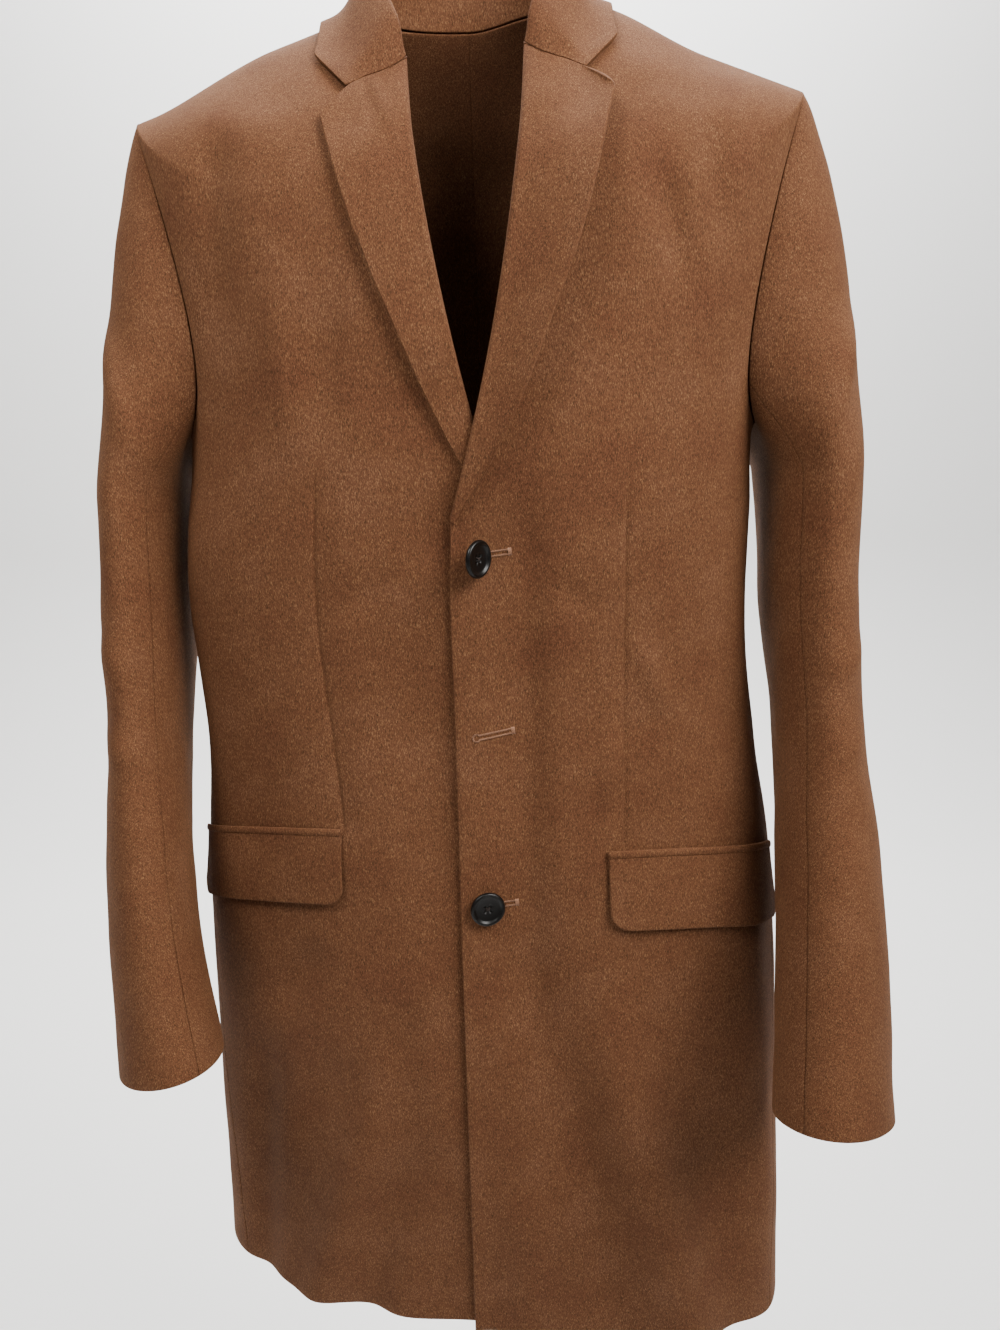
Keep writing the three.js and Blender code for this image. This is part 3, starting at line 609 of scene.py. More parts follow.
def front_columns():
    """Shares of the way across a front, closer together beside the dart."""
    even = np.linspace(0, 1, FRONT_COLUMNS)
    even = even[np.abs(even - DART_COLUMN) > CLEAR_OF_DART / PANEL_WIDTH]
    return np.sort(np.concatenate([even, DART_COLUMN + CLOSE_COLUMNS / PANEL_WIDTH]))


def across_front(columns, starts, ends):
    """The share of the way across for each row and column, with the dart on its own column."""
    tried = body_point(mix(starts[0][:, None], ends[:, :1], TRIES),
                       mix(starts[1][:, None], ends[:, 1:], TRIES))
    dart = np.array([np.interp(DART_X, row, TRIES) for row in tried[..., 0]])
    dart = np.clip(dart, *DART_RANGE)[:, None]
    before = columns / DART_COLUMN * dart
    after = dart + (columns - DART_COLUMN) / (1 - DART_COLUMN) * (1 - dart)
    return np.where(columns < DART_COLUMN, before, after)


def dart_groove(columns, z, pocket_z):
    """How far the dart is pressed in, in mm, with a soft hollow along it."""
    off_dart = (columns - DART_COLUMN) * PANEL_WIDTH
    groove = DART["depth"] * np.exp(-((off_dart / DART["width"]) ** 2))
    groove = groove + DART["hollow"] * np.exp(-((off_dart / DART["hollow_width"]) ** 2))
    in_dart = smooth((DART["top"] - z) / DART["fade"]) * rise(z, pocket_z - 8, pocket_z + 6)
    return groove * in_dart[:, None]


print("a front has", len(front_columns()), "columns")

# %% [markdown]
# Now the fronts themselves. They are worked out on the even left half, where the lower edge
# drops a little at the front, and then hung, mirrored, folded and made into a sheet.

# %% Fronts
EDGE_ROLL = dict(height=0.9, width=6.5, fade=20.0)
# room for the lapel's roll above the break, and how much more near the neck, in mm
ROOM = (3.4, 4.0)


def front_panel(name):
    """One front as a sheet."""
    facts = SIDES[name]
    parts = panel_rows(**FRONT_ROWS)
    centre = np.array([row[1] for row in parts])
    straight = body_point(0.0, np.maximum(centre, SHOULDER_END))[..., 2]
    above = mix(ROLL_TOP[1], straight, centre / SHOULDER_END)
    z = np.where(centre < SHOULDER_END, above, straight)
    room = ROOM[0] * rise(z, ROLL_BREAK[1], ROLL_BREAK[1] + 30) + ROOM[1] * rise(z, -120, -70)
    starts = front_at(edge_x(z) + SEAM_GAP + room, z)
    ends = np.array([side_edge(part, place, -ARMHOLE["front"]) for part, _, place in parts])
    columns = front_columns()
    across = across_front(columns, starts, ends)
    angle = mix(starts[0][:, None], ends[:, :1], across)
    ring = mix(starts[1][:, None], ends[:, 1:], across)
    points = body_point(angle, ring)
    normals = body_normal(angle, ring)
    tuck = facts["under"] * tuck_at(points[..., 0], points[..., 2])
    points = points - normals * tuck[..., None]
    points[..., 2] -= facts["hem_drop"] * rise(centre[:, None], 6, HEM_RING) * (1 - smooth(across * 1.2))
    near_edge = 1 - smooth(across * PANEL_WIDTH / EDGE_ROLL["width"])
    edge_roll = EDGE_ROLL["height"] * near_edge * smooth((ROLL_BREAK[1] - z[:, None]) / EDGE_ROLL["fade"])
    heights = edge_roll - dart_groove(columns, z, facts["pocket_z"])
    placed = mirrored(hung(points, name), name)
    outward = mirrored(normals, name)
    calm = calm_at_armhole(parts, across)
    if name == "right":
        heights, calm = heights[:, ::-1], calm[:, ::-1]
    heights = heights + body_relief(placed, outward) * calm
    shell("cloth_front_" + name, placed + outward * heights[..., None])


for SIDE in SIDES:
    front_panel(SIDE)
print("fronts:", {name: len(piece.data.polygons) for name, piece in PIECES.items()})

# %% [markdown]
# The back is two panels with a plain seam down the middle. They are made like the fronts, and
# their rounded rims meet there, so that the seam is a soft groove that no light comes through.

# %% Backs
BACK_COLUMNS = 62
# where a back's rim ends, as x on the even left half: it reaches just over the middle
BACK_SEAM_X = -0.12


def back_panel(name):
    """One back as a sheet."""
    parts = panel_rows(**BACK_ROWS)
    ends = np.array([side_edge(part, place, ARMHOLE["rear"]) for part, _, place in parts])
    centre = np.array([row[1] for row in parts])[:, None]
    across = np.linspace(0, 1, BACK_COLUMNS)
    angle = mix(180.0, ends[:, :1], across)
    ring = mix(centre, ends[:, 1:], across)
    points = body_point(angle, ring)
    points[:, 0, 0] = BACK_SEAM_X
    normals = body_normal(angle, ring)
    calm = calm_at_armhole(parts, np.broadcast_to(across, angle.shape))
    placed = mirrored(hung(points, name)[:, ::-1], name)
    outward = mirrored(normals[:, ::-1], name)
    calm = calm[:, ::-1] if name == "left" else calm
    heights = body_relief(placed, outward) * calm
    shell("cloth_back_" + name, placed + outward * heights[..., None])


for SIDE in SIDES:
    back_panel(SIDE)
print("a back has", len(PIECES["cloth_back_left"].data.polygons), "faces")

# %% [markdown]
# Whatever is laid on a front, such as a lapel, a flap or a stitch, is placed by x and z on the
# even left half and by its height above the cloth, and is then moved with the front's folds.

# %% Places on a front


def on_front(x, z, lift, name):
    """Points that lie lift mm above the named front, at x and z of the even left half."""
    angle, ring = front_at(x, z)
    return above_body(angle, ring, lift - SIDES[name]["under"] * tuck_at(x, z), name)


def above_body(angle, ring, lift, name):
    """Points that lie lift mm above the body's surface, folds included, on the named side."""
    points = body_point(angle, ring)
    normals = body_normal(angle, ring)
    sign = np.array([SIDES[name]["side"], 1.0, 1.0])
    placed = hung(points, name) * sign
    outward = normals * sign
    heights = lift + body_relief(placed, outward)
    return placed + outward * np.asarray(heights)[..., None]


ON_LEFT = on_front(np.array([0.0]), np.array([-355.0]), 0.0, "left")
print("a point on the left front:", np.round(ON_LEFT, 1).tolist())

# %% [markdown]
# The collar is one piece from notch to notch. Its stand rises from the neck seam, folds over,
# and its fall lies on the shoulders. Each station gives the fold as a point, the middle of the
# fall and its outer edge as an angle and a ring of the body, and a curve runs through them.
# At the front end the curve is made straighter, because a collar's tip is a sharp corner.

# %% Collar
COLLAR = table("fold_x fold_y fold_z mid_angle mid_ring edge_angle edge_ring", [
    (37, -61, -48, 36, 0.64, 58, 0.54),
    (44, -55, -20, 52, 0.30, 69, 0.42),
    (61, -18, 22, 80, 0.16, 87, 0.36),
    (55, 22, 33, 118, 0.18, 116, 0.44),
    (30, 43, 37, 150, 0.24, 149, 0.58),
    (0, 49, 38, 180, 0.26, 180, 0.66),
])
COLLAR_CORNER = 4.0
COLLAR_LENGTH = 430.0
COLLAR_DEPTH = 75.0
COLLAR_COLUMNS = 58
# how many degrees the stand's front end is turned outwards, to meet the lapel's roll
FRONT_SEAM_TURN = 10.0
# how high the fall lies above the body at its middle and its edge, in mm: at the front, at the back
FALL_LIFT = {"middle": (4.2, 9.0), "edge": (4.2, 4.0)}


def curve_through(guides, share):
    """Points of a centripetal Catmull-Rom curve through four guide points."""
    guides = [2 * guides[0] - guides[1]] + guides + [2 * guides[-1] - guides[-2]]
    place = share * 3
    segment = np.clip(np.floor(place), 0, 2).astype(int)
    result = np.zeros(guides[0].shape[:1] + share.shape[-1:] + (3,))
    for index in range(3):
        p0, p1, p2, p3 = guides[index:index + 4]
        spans = ((p0, p1), (p1, p2), (p2, p3))
        d0, d1, d2 = [np.linalg.norm(b - a, axis=-1, keepdims=True) ** 0.5 for a, b in spans]
        m1 = ((p1 - p0) / d0 - (p2 - p0) / (d0 + d1) + (p2 - p1) / d1) * d1
        m2 = ((p2 - p1) / d1 - (p3 - p1) / (d1 + d2) + (p3 - p2) / d2) * d1
        t = (place - index)[..., None]
        part = hermite(p1[:, None], p2[:, None], m1[:, None], m2[:, None], t)
        result = np.where((segment == index)[..., None], part, result)
    return result


def collar_points(name):
    """The points of the collar's outer face on the named side, from its front to the centre back."""
    place = np.concatenate([[0, 0.003, 0.007, 0.012, 0.018], np.linspace(0.026, 0.5, 92)])
    station = place * 2 * (len(COLLAR["fold_x"]) - 1)
    back = place * 2
    fold = np.stack([column(COLLAR[key], station) for key in ("fold_x", "fold_y", "fold_z")], axis=-1)
    pointing = np.degrees(np.arctan2(fold[:, 0], -fold[:, 1]))
    angle = mix(pointing, 180.0, smooth((back - 0.8) / 0.2))
    angle = angle + FRONT_SEAM_TURN * (1 - rise(place, 0, 0.1))
    seam = body_point(angle, 0.0)
    towards_neck = unit(np.stack([-seam[:, 0], BODY["centre_y"][0] - seam[:, 1], 0 * angle], axis=-1))
    seam = seam + towards_neck * (CLOTH + 0.6)
    middle, edge = [
        body_point(angle_at, ring_at) + body_normal(angle_at, ring_at) * mix(*lift, back)[:, None]
        for angle_at, ring_at, lift in (
            (column(COLLAR["mid_angle"], station), column(COLLAR["mid_ring"], station), FALL_LIFT["middle"]),
            (column(COLLAR["edge_angle"], station), column(COLLAR["edge_ring"], station), FALL_LIFT["edge"]),
        )
    ]
    from_tip = np.clip(COLLAR_CORNER - place * COLLAR_LENGTH, 0, COLLAR_CORNER)
    rounded = COLLAR_CORNER - np.sqrt(COLLAR_CORNER ** 2 - from_tip ** 2)
    reach = 1 - rounded / COLLAR_DEPTH
    share = np.linspace(0, 1, COLLAR_COLUMNS)[None, :] * reach[:, None]
    curved = curve_through([seam, fold, middle, edge], share)
    thirds = share[..., None] * 3
    pointed = np.where(share[..., None] < 2 / 3,
                       mix(fold[:, None], middle[:, None], thirds - 1),
                       mix(middle[:, None], edge[:, None], thirds - 2))
    cornered = smooth((share - 0.42) / 0.16) * (1 - rise(place[:, None], 0, 0.07))
    half = mix(curved, pointed, cornered[..., None])
    return hung(half, name) * np.array([SIDES[name]["side"], 1.0, 1.0])


def collar():
    """The whole collar as one sheet, a little uneven except at its ends and its seam."""
    points = np.concatenate([collar_points("right"), collar_points("left")[::-1][1:]])
    outward = unit(np.cross(np.gradient(points, axis=0), np.gradient(points, axis=1)))
    rows = np.arange(len(points))
    from_edge = np.minimum(rows, rows[::-1])[:, None]
    off_seam = smooth(np.linspace(0, 1, COLLAR_COLUMNS) / 0.4)
    uneven = 0.5 * lumps(points, 60, 21) * off_seam * smooth(from_edge / 14)
    shell("cloth_collar", points + outward * uneven[..., None], thickness=2.1)


collar()
print("collar faces:", len(PIECES["cloth_collar"].data.polygons))

# %% [markdown]
# A lapel is the top of the front's facing, turned over along the roll line. It isn't pressed
# flat: it rolls over the edge of the front, so the sheet starts a little way inside and goes
# round the roll. Its outer edge stands off the chest, more on the wearer's left, and throws a
# soft shadow. Its top is sewn to the collar's front edge along the gorge, up to the notch.

# %% Lapels
# how far the sheet stands in and out from the front at the roll, and runs inwards, in mm
ROLL = dict(below=4.4, above=3.3, inside=12.0)
LAPEL_CORNER = 3.5
LAPEL_LENGTH = 270.0
LAPEL_RIM = 1.1
# where the notch is along the top edge, and how far down a lapel the join is felt, as shares
NOTCH_SHARE = 0.62
GORGE_REACH = 0.2
# how far the outer edge stands off the chest where it springs most, in mm
LAPEL_SPRING = {"left": 17.0, "right": 3.4}
# a soft crease runs across the top of the right lapel
CREASE = dict(face=0.4, slope=1.3, width=0.07, height=0.9, end=0.3)


def along_line(line, distance):
    """Points at the given distances along a line of points."""
    lengths = np.concatenate([[0.0], np.cumsum(np.linalg.norm(np.diff(line, axis=0), axis=1))])
    return np.stack([np.interp(distance, lengths, line[:, k]) for k in range(3)], axis=-1)


def joined_to_collar(points, down, name, roll_middle):
    """The lapel's rows, moved so that its top edge runs along the collar's front edge."""
    top = points[0]
    steps = np.concatenate([[0.0], np.cumsum(np.linalg.norm(np.diff(top, axis=0), axis=1))])
    distance = steps - steps[roll_middle]
    line = collar_points(name)[0]
    lengths = np.concatenate([[0.0], np.cumsum(np.linalg.norm(np.diff(line, axis=0), axis=1))])
    third = (len(line) - 1) / 3
    fold_at, corner_at = np.interp([third, 2 * third], np.arange(len(line)), lengths)
    notch = NOTCH_SHARE * distance[-1]
    stretch = (corner_at - fold_at) / notch
    outwards = distance.clip(0, notch) * stretch
    target = along_line(line, fold_at + np.where(distance > 0, outwards, distance))
    move = target - top
    at_notch = np.array([np.interp(notch, distance, move[:, k]) for k in range(3)])
    fading = 1 - smooth((distance - notch) / (distance[-1] - notch))
    move = np.where((distance > notch)[:, None], at_notch * fading[:, None], move)
    weight = 1 - smooth(down / GORGE_REACH)
    return points + weight[:, None, None] * move


def lapel_border(down):
    """The x and z of the roll line and of the outer edge, at shares of the way down a lapel."""
    edge_place = down * (len(LAPEL_EDGE["x"]) - 1)
    inner_z = mix(ROLL_TOP[1], ROLL_BREAK[1], down ** 1.05) - 1
    inner_x = roll_x(inner_z)
    outer_x = np.maximum(column(LAPEL_EDGE["x"], edge_place), inner_x + 3)
    return inner_x, inner_z, outer_x, column(LAPEL_EDGE["z"], edge_place)


def lapel_spring(name, down, face, full):
    """How far a lapel stands off the chest, by the way down and across its face, in mm."""
    lifted = mix(0.55, 1.0, smooth(down / 0.25)) * (1 - smooth((down - 0.5) / 0.45))
    middle = 0.8 * np.sin(math.pi * face) ** 2
    spring = full * (middle + LAPEL_SPRING[name] * lifted * face ** 1.5)
    if name == "left":
        return spring
    from_crease = (face - (CREASE["face"] - CREASE["slope"] * down)) / CREASE["width"]
    fading = 1 - smooth(down / CREASE["end"])
    return spring + CREASE["height"] * fading * np.exp(-(from_crease ** 2))


def lapel(name):
    """One lapel as a sheet, from inside the roll to its outer edge."""
    down = np.concatenate([[0, 0.003, 0.007, 0.013, 0.02], np.linspace(0.03, 1, 104)])
    inner_x, inner_z, outer_x, outer_z = lapel_border(down)
    width = np.hypot(outer_x - inner_x, outer_z - inner_z)
    from_tip = np.clip(LAPEL_CORNER - down * LAPEL_LENGTH, 0, LAPEL_CORNER)
    rounded = LAPEL_CORNER - np.sqrt(LAPEL_CORNER ** 2 - from_tip ** 2)
    full = smooth(width / 16)[:, None]
    above = mix(CLOTH + 0.4, ROLL["above"], full)
    below = mix(CLOTH + 0.4, ROLL["below"], full)
    radius = (above + below) / 2
    inside = np.linspace(1, 0, 5)
    turns = np.radians(np.linspace(-90, -270, 13))[1:-1]
    face = np.linspace(0, 1, 46)
    reach = np.minimum(ROLL["inside"], width)[:, None]
    out = np.concatenate([
        radius + (reach - radius).clip(0.5) * inside,
        radius + radius * np.cos(turns),
        mix(radius, (width - rounded)[:, None], face),
    ], axis=1)
    lift = np.concatenate([
        -below + 0 * inside,
        (above - below) / 2 + radius * np.sin(turns),
        above + lapel_spring(name, down[:, None], face, full) - 0.2 * face,
    ], axis=1)
    share = out / width[:, None]
    held = share.clip(0, 1)
    bow = (1 - down[:, None]) ** 6 * 4 * held * (1 - held) * 1.5
    x = mix(inner_x[:, None], outer_x[:, None], share)
    z = mix(inner_z[:, None], outer_z[:, None], share) + bow
    points = on_front(x, z, lift, name)
    points = joined_to_collar(points, down, name, len(inside) + len(turns) // 2)
    edge = np.concatenate([0 * inside, 0 * turns, face ** 6])[None, :] * full
    thickness = CLOTH + 1.1 * edge
    if name == "right":
        points, thickness = points[:, ::-1], thickness[:, ::-1]
    shell("cloth_lapel_" + name, points, thickness, LAPEL_RIM)


for SIDE in SIDES:
    lapel(SIDE)
print("lapel faces:", len(PIECES["cloth_lapel_left"].data.polygons))

# %% [markdown]
# A coat sleeve is cut as two pieces, a wide top sleeve and a narrow under sleeve, curved like
# a resting arm. Rings go down each arm, and the sleeve head is a smooth run from the armhole
# to the first ring. Folds gather at the elbow and under the shoulder, where the arm bends.

# %% Sleeves
SLEEVE_RINGS = {
    "left": table("x y z across deep forward outward toed", [
        (241, -14, -312, 33, 76, 2, 0, 0),
        (243, -24, -400, 32, 72, 7, 0, 2),
        (247, -54, -500, 32, 67, 14, 0, 5),
        (245, -110, -612, 38, 61, 20, 1, 8),
        (234, -174, -734, 41, 54, 20, 3, 10),
    ]),
    "right": table("x y z across deep forward outward toed", [
        (243, -12, -320, 27, 76, 2, 0, 0),
        (248, -24, -405, 28, 72, 7, 0, 2),
        (251, -50, -505, 28, 67, 12, 2, 7),
        (247, -92, -605, 32, 61, 15, 7, 12),
        (229, -138, -708, 39, 54, 15, 12, 14),
    ]),
}
# how the head leaves the armhole outwards and downwards, and how full its curve is
SLEEVE_HEAD = {
    "left": dict(out=0.5, down=0.75, ease=0.75),
    "right": dict(out=0.4, down=0.85, ease=0.75),
}
# places down a sleeve: 0 is the armhole, then the first of the rings, and last the cuff
CAP_LENGTH = 4.0
LAST_RING = 8.0
# the seams, as turns round the arm in degrees, and half the gap between the two pieces
SEAM_TRIM = 0.15
SLEEVE_SEAMS = dict(front=128.0, rear=248.0)


def arm_ring(rings, turn, place):
    """Points of a ring of the arm: turn 0 is its outer side, 90 its front and 270 its back."""
    value = {key: column(rings[key], place) for key in rings}
    lean = np.radians(value["forward"])
    out = np.radians(value["outward"])
    across = value["across"] * np.cos(np.radians(turn))
    deep = value["deep"] * np.sin(np.radians(turn))
    return np.stack([
        value["x"] + across * np.cos(out) - deep * np.sin(np.radians(value["toed"])),
        value["y"] - deep * np.cos(lean),
        value["z"] + deep * np.sin(lean) - across * np.sin(out),
    ], axis=-1)


def sleeve_point(name, turn, place):
    """Points of a sleeve's outer face, from the armhole, at place 0, to the cuff."""
    turn, place = np.broadcast_arrays(np.asarray(turn, float), np.asarray(place, float))
    head = SLEEVE_HEAD[name]
    rings = SLEEVE_RINGS[name]
    forward = (turn % 360) < 180
    half = np.where(forward, turn % 360, 360 - (turn % 360))
    angle, ring = armhole_place(half, np.where(forward, -ARMHOLE["front"], ARMHOLE["rear"]))
    normal = body_normal(angle, np.clip(ring, 2.02, 9))
    high = (1 + np.cos(np.radians(half))) / 2
    leave = unit(np.stack([mix(0.35, head["out"], high), -0.25 * np.sin(np.radians(turn)),
                           mix(-0.9, -head["down"], high)], axis=-1))
    start = hung(body_point(angle, ring), name) + normal * mix(0.9, 0.3, high)[..., None] - leave * 0.5
    end = arm_ring(rings, turn, 0.0 * turn)
    arrive = unit(arm_ring(rings, turn, 0.0 * turn + 0.05) - end)
    reach = np.linalg.norm(end - start, axis=-1, keepdims=True) * head["ease"]
    cap = hermite(start, end, leave * reach, arrive * reach, (place / CAP_LENGTH)[..., None])
    arm = arm_ring(rings, turn, np.maximum(place - CAP_LENGTH, 0))
    return np.where((place >= CAP_LENGTH)[..., None], arm, cap)


def sleeve(piece, name, from_turn, to_turn, columns):
    """One piece of a sleeve as a sheet, from one seam round the arm to the other."""
    def surface(turn, place):
        return sleeve_point(name, turn, place)

    head_rows = np.linspace(0, CAP_LENGTH, 61)
    arm_rows = np.linspace(CAP_LENGTH, LAST_RING, 141)[1:]
    rows = np.concatenate([head_rows, arm_rows])[:, None]
    turn = np.linspace(from_turn + SEAM_TRIM, to_turn - SEAM_TRIM, columns)[None, :]
    points = surface(turn, rows)
    normals = normal_of(surface, turn, np.clip(rows, 0.02, LAST_RING - 0.02), 0.5, 0.02)
    placed = mirrored(points[:, ::-1], name)
    outward = mirrored(normals[:, ::-1], name)
    calm = smooth((rows - 0.1) / 0.6)
    heights = sleeve_relief(placed, outward) * calm
    shell(f"cloth_{piece}_{name}", placed + outward * heights[..., None])


for SIDE in SIDES:
    sleeve("under_sleeve", SIDE, SLEEVE_SEAMS["front"], SLEEVE_SEAMS["rear"], 40)
    sleeve("top_sleeve", SIDE, SLEEVE_SEAMS["rear"], SLEEVE_SEAMS["front"] + 360, 78)
print("sleeve faces:", len(PIECES["cloth_top_sleeve_left"].data.polygons))

# %% [markdown]
# A flap pocket is a slit with its upper edge bound by a narrow jet, and a flap sewn in under
# it. The flap has rounded corners and stands off a little more towards the bottom.

# %% Pockets
JET_HEIGHT = 6.0
JET_CORNER = 0.8
FLAP_HEIGHT = 51.0
FLAP_CORNER = 12.0
# how much lower a pocket's rear end is than its front end, in mm
POCKET_SLOPE = 22.0
# the angle of a pocket's rear end, and about how many mm a degree round the body is there
POCKET_REAR_ANGLE = 75.0
MM_PER_DEGREE = 3.4
# columns of a strip, with close ones near its ends, in mm from the end
STRIP_COLUMNS = 60
CLOSE_TO_END = np.array([0, 0.5, 1.2, 2.2, 3.6, 5.5, 8.0])
CLEAR_OF_END = 11


def ring_at_height(angle, z):
    """The ring of a place at the given angle and height, found by halving."""
    low = np.full(np.shape(z), 3.0)
    high = np.full(np.shape(z), HEM_RING)
    for _ in range(26):
        ring = (low + high) / 2
        too_high = body_point(angle, ring)[..., 2] > z
        low = np.where(too_high, ring, low)
        high = np.where(too_high, high, ring)
    return (low + high) / 2


def pocket_strip(piece, name, top, bottom, corner, rows, lift_at):
    """A flap or a jet as a sheet. Its top and bottom are heights above the pocket's own line."""
    facts = SIDES[name]
    near_angle = float(front_at(facts["pocket_x"], facts["pocket_z"])[0])
    span = (POCKET_REAR_ANGLE - near_angle) * MM_PER_DEGREE
    ends = CLOSE_TO_END / span
    even = np.linspace(CLEAR_OF_END / span, 1 - CLEAR_OF_END / span, STRIP_COLUMNS)
    along = np.concatenate([ends, even, (1 - ends)[::-1]])[None, :]
    down = np.linspace(0, 1, rows)[:, None]
    missing = np.clip(corner - np.minimum(along, 1 - along) * span, 0, corner)
    lost = corner - np.sqrt(corner ** 2 - missing ** 2)
    angle = mix(near_angle, POCKET_REAR_ANGLE, along)
    level = mix(facts["pocket_z"] + top, facts["pocket_z"] + bottom + lost, down)
    angle, z = np.broadcast_arrays(angle, level - POCKET_SLOPE * along ** 1.5)
    points = above_body(angle, ring_at_height(angle, z), lift_at(down, along), name)
    shell(f"cloth_{piece}_{name}", points if name == "left" else points[:, ::-1])


def flap_lift(down, along):
    """How high a flap's outer face is above the front, in mm."""
    middle = 1 - (2 * along - 1) ** 4
    return 2.5 + 2.2 * down ** 1.5 + 0.8 * middle * np.sin(math.pi * down)


def jet_lift(down, along):
    """The same for a jet, which is rounded."""
    return 2.6 + 0.9 * np.sin(math.pi * down) + 0 * along


STRIPS = {
    "pocket_flap": dict(top=-JET_HEIGHT / 2 + 1.0, bottom=-JET_HEIGHT / 2 - SEAM_GAP - FLAP_HEIGHT,
                        corner=FLAP_CORNER, rows=26, lift_at=flap_lift),
    "pocket_jet": dict(top=JET_HEIGHT / 2, bottom=-JET_HEIGHT / 2,
                       corner=JET_CORNER, rows=6, lift_at=jet_lift),
}
for SIDE in SIDES:
    for kind, facts in STRIPS.items():
        pocket_strip(kind, SIDE, **facts)
print("flap faces:", len(PIECES["cloth_pocket_flap_left"].data.polygons))

# %% [markdown]
# Small round things are tubes along a line of points: the threads of a stitch, and the cross
# of thread in a button. Many of them are joined in one mesh.

# %% Tubes
TUBE_SIDES = 6


def tube(path, radius, sides=TUBE_SIDES):
    """Points and faces of a closed tube along a path, all in mm."""
    path = np.asarray(path, float)
    direction = unit(np.gradient(path, axis=0))
    helper = np.array([0.31, 0.52, 0.79])
    first = unit(np.cross(direction, helper))
    second = np.cross(direction, first)
    turns = np.linspace(0, 2 * math.pi, sides, endpoint=False)
    cosine, sine = np.cos(turns)[None, :, None], np.sin(turns)[None, :, None]
    around = first[:, None] * cosine + second[:, None] * sine
    points = (path[:, None] + around * radius).reshape(-1, 3)
    faces = []
    for row in range(len(path) - 1):
        for step in range(sides):
            a = row * sides + step
            b = row * sides + (step + 1) % sides
            faces.append((a, b, b + sides, a + sides))
    last = (len(path) - 1) * sides
    faces.append(tuple(range(sides - 1, -1, -1)))
    faces.append(tuple(range(last, last + sides)))
    return points, faces


def joined(name, parts):
    """One object from several lots of points, in mm, and faces."""
    points, faces, start = [], [], 0
    for part_points, part_faces in parts:
        points.extend((np.asarray(part_points) * MM).tolist())
        faces.extend([tuple(corner + start for corner in face) for face in part_faces])
        start += len(part_points)
    return smooth_object(name, points, faces)


print("a tube has", len(tube(np.array([[0, 0, 0], [0, 0, 1.0]]), 0.3)[1]), "faces")

# %% [markdown]
# Holes go right through the cloth and the buttons, so they are cut, not coloured. The shapes
# that cut them are closed ones. They are joined in one object and removed again afterwards.

# %% Cutting holes


def cut_through(piece, parts):
    """Cuts closed shapes, each as points in mm and faces, out of a piece."""
    cutter = joined("cutter", parts)
    cut = piece.modifiers.new("cut", "BOOLEAN")
    cut.operation = "DIFFERENCE"
    cut.solver = "EXACT"
    cut.object = cutter
    bpy.context.view_layer.update()
    evaluated = piece.evaluated_get(bpy.context.evaluated_depsgraph_get())
    with_holes = bpy.data.meshes.new_from_object(evaluated)
    piece.modifiers.clear()
    piece.data = with_holes
    bpy.data.objects.remove(cutter)


print("faces of the left front before cutting:", len(PIECES["cloth_front_left"].data.polygons))

# %% [markdown]
# A tailored buttonhole is a keyhole: a slit with a round eye next to the front edge, for the
# button's shank, closed at the other end by a bar tack. It is cut right through the left
# front, and silk twist is stitched close round it. The middle one is empty on this coat.

# %% Buttonholes
FIRST_BUTTON = -355.0
BUTTON_SPACING = 124.0
# sizes in mm: the set-back is from the coat's middle line, and the pitch is between stitches
HOLE = dict(length=25.0, half_width=1.0, eye=2.0, set_back=4.0, thread=0.2, pitch=0.42)
# the step round the outline, and from how far above the cloth to how far below it is cut
CUTTER = dict(step=0.4, reach=(5.0, -7.0))
# each hole's name, its number down the front and its slope in degrees
HOLES = [("top", 0, 5.0), ("middle", 1, 8.0), ("bottom", 2, 3.0)]


def hole_outline(step):
    """Points round the keyhole and their outward directions, in its own plane."""
    eye, half = HOLE["eye"], HOLE["half_width"]
    opening = math.asin(half / eye)
    turns = np.arange(opening, 2 * math.pi - opening, step / eye)
    circle = np.stack([np.cos(turns), np.sin(turns)], axis=-1)
    run = np.arange(eye * math.cos(opening), HOLE["length"], step)
    upper = np.stack([run, np.full(run.shape, half)], axis=-1)
    lower = upper * np.array([1.0, -1.0])
    up = np.tile([0.0, 1.0], (len(run), 1))
    points = np.concatenate([circle * eye, lower, upper[::-1]])
    outwards = np.concatenate([circle, -up, up])
    return points, outwards


def on_hole(local, lift, index, slope):
    """Places of a buttonhole's own plane on the left front."""
    cosine, sine = math.cos(math.radians(slope)), math.sin(math.radians(slope))
    x = -HOLE["set_back"] + local[..., 0] * cosine - local[..., 1] * sine
    z = FIRST_BUTTON - index * BUTTON_SPACING + local[..., 0] * sine + local[..., 1] * cosine
    return on_front(x, z, lift, "left")


def hole_cutter(index, slope):
    """The closed shape that cuts one buttonhole."""
    points, _ = hole_outline(CUTTER["step"])
    count = len(points)
    ends = [on_hole(points, np.full(count, lift), index, slope) for lift in CUTTER["reach"]]
    sides = [(k, (k + 1) % count, (k + 1) % count + count, k + count) for k in range(count)]
    lids = [tuple(range(count - 1, -1, -1)), tuple(range(count, 2 * count))]
    return np.concatenate(ends), sides + lids


cut_through(PIECES["cloth_front_left"], [hole_cutter(index, slope) for _, index, slope in HOLES])
print("faces of the left front after cutting:", len(PIECES["cloth_front_left"].data.polygons))

# %% [markdown]
# Each stitch comes up out of the slit, bends over its edge and goes back into the cloth 1 mm
# away from it, and no two are quite as long. A few long stitches lie across the closed end.

# %% Buttonhole stitches
STITCH_SEED = 40
# the points of a stitch: how far outside the slit's edge and how high above the cloth, in mm
STITCH = dict(out=[0.12, 0.05, 0.45, 1.0, 1.0], lift=[-0.7, 0.1, 0.42, 0.34, -0.1])
STITCH_LENGTHS = (0.92, 1.1)
BAR = dict(threads=7, points=6, half=2.5, uneven=0.2, start=-0.6, pitch=0.36, top=0.75, fall=0.85)


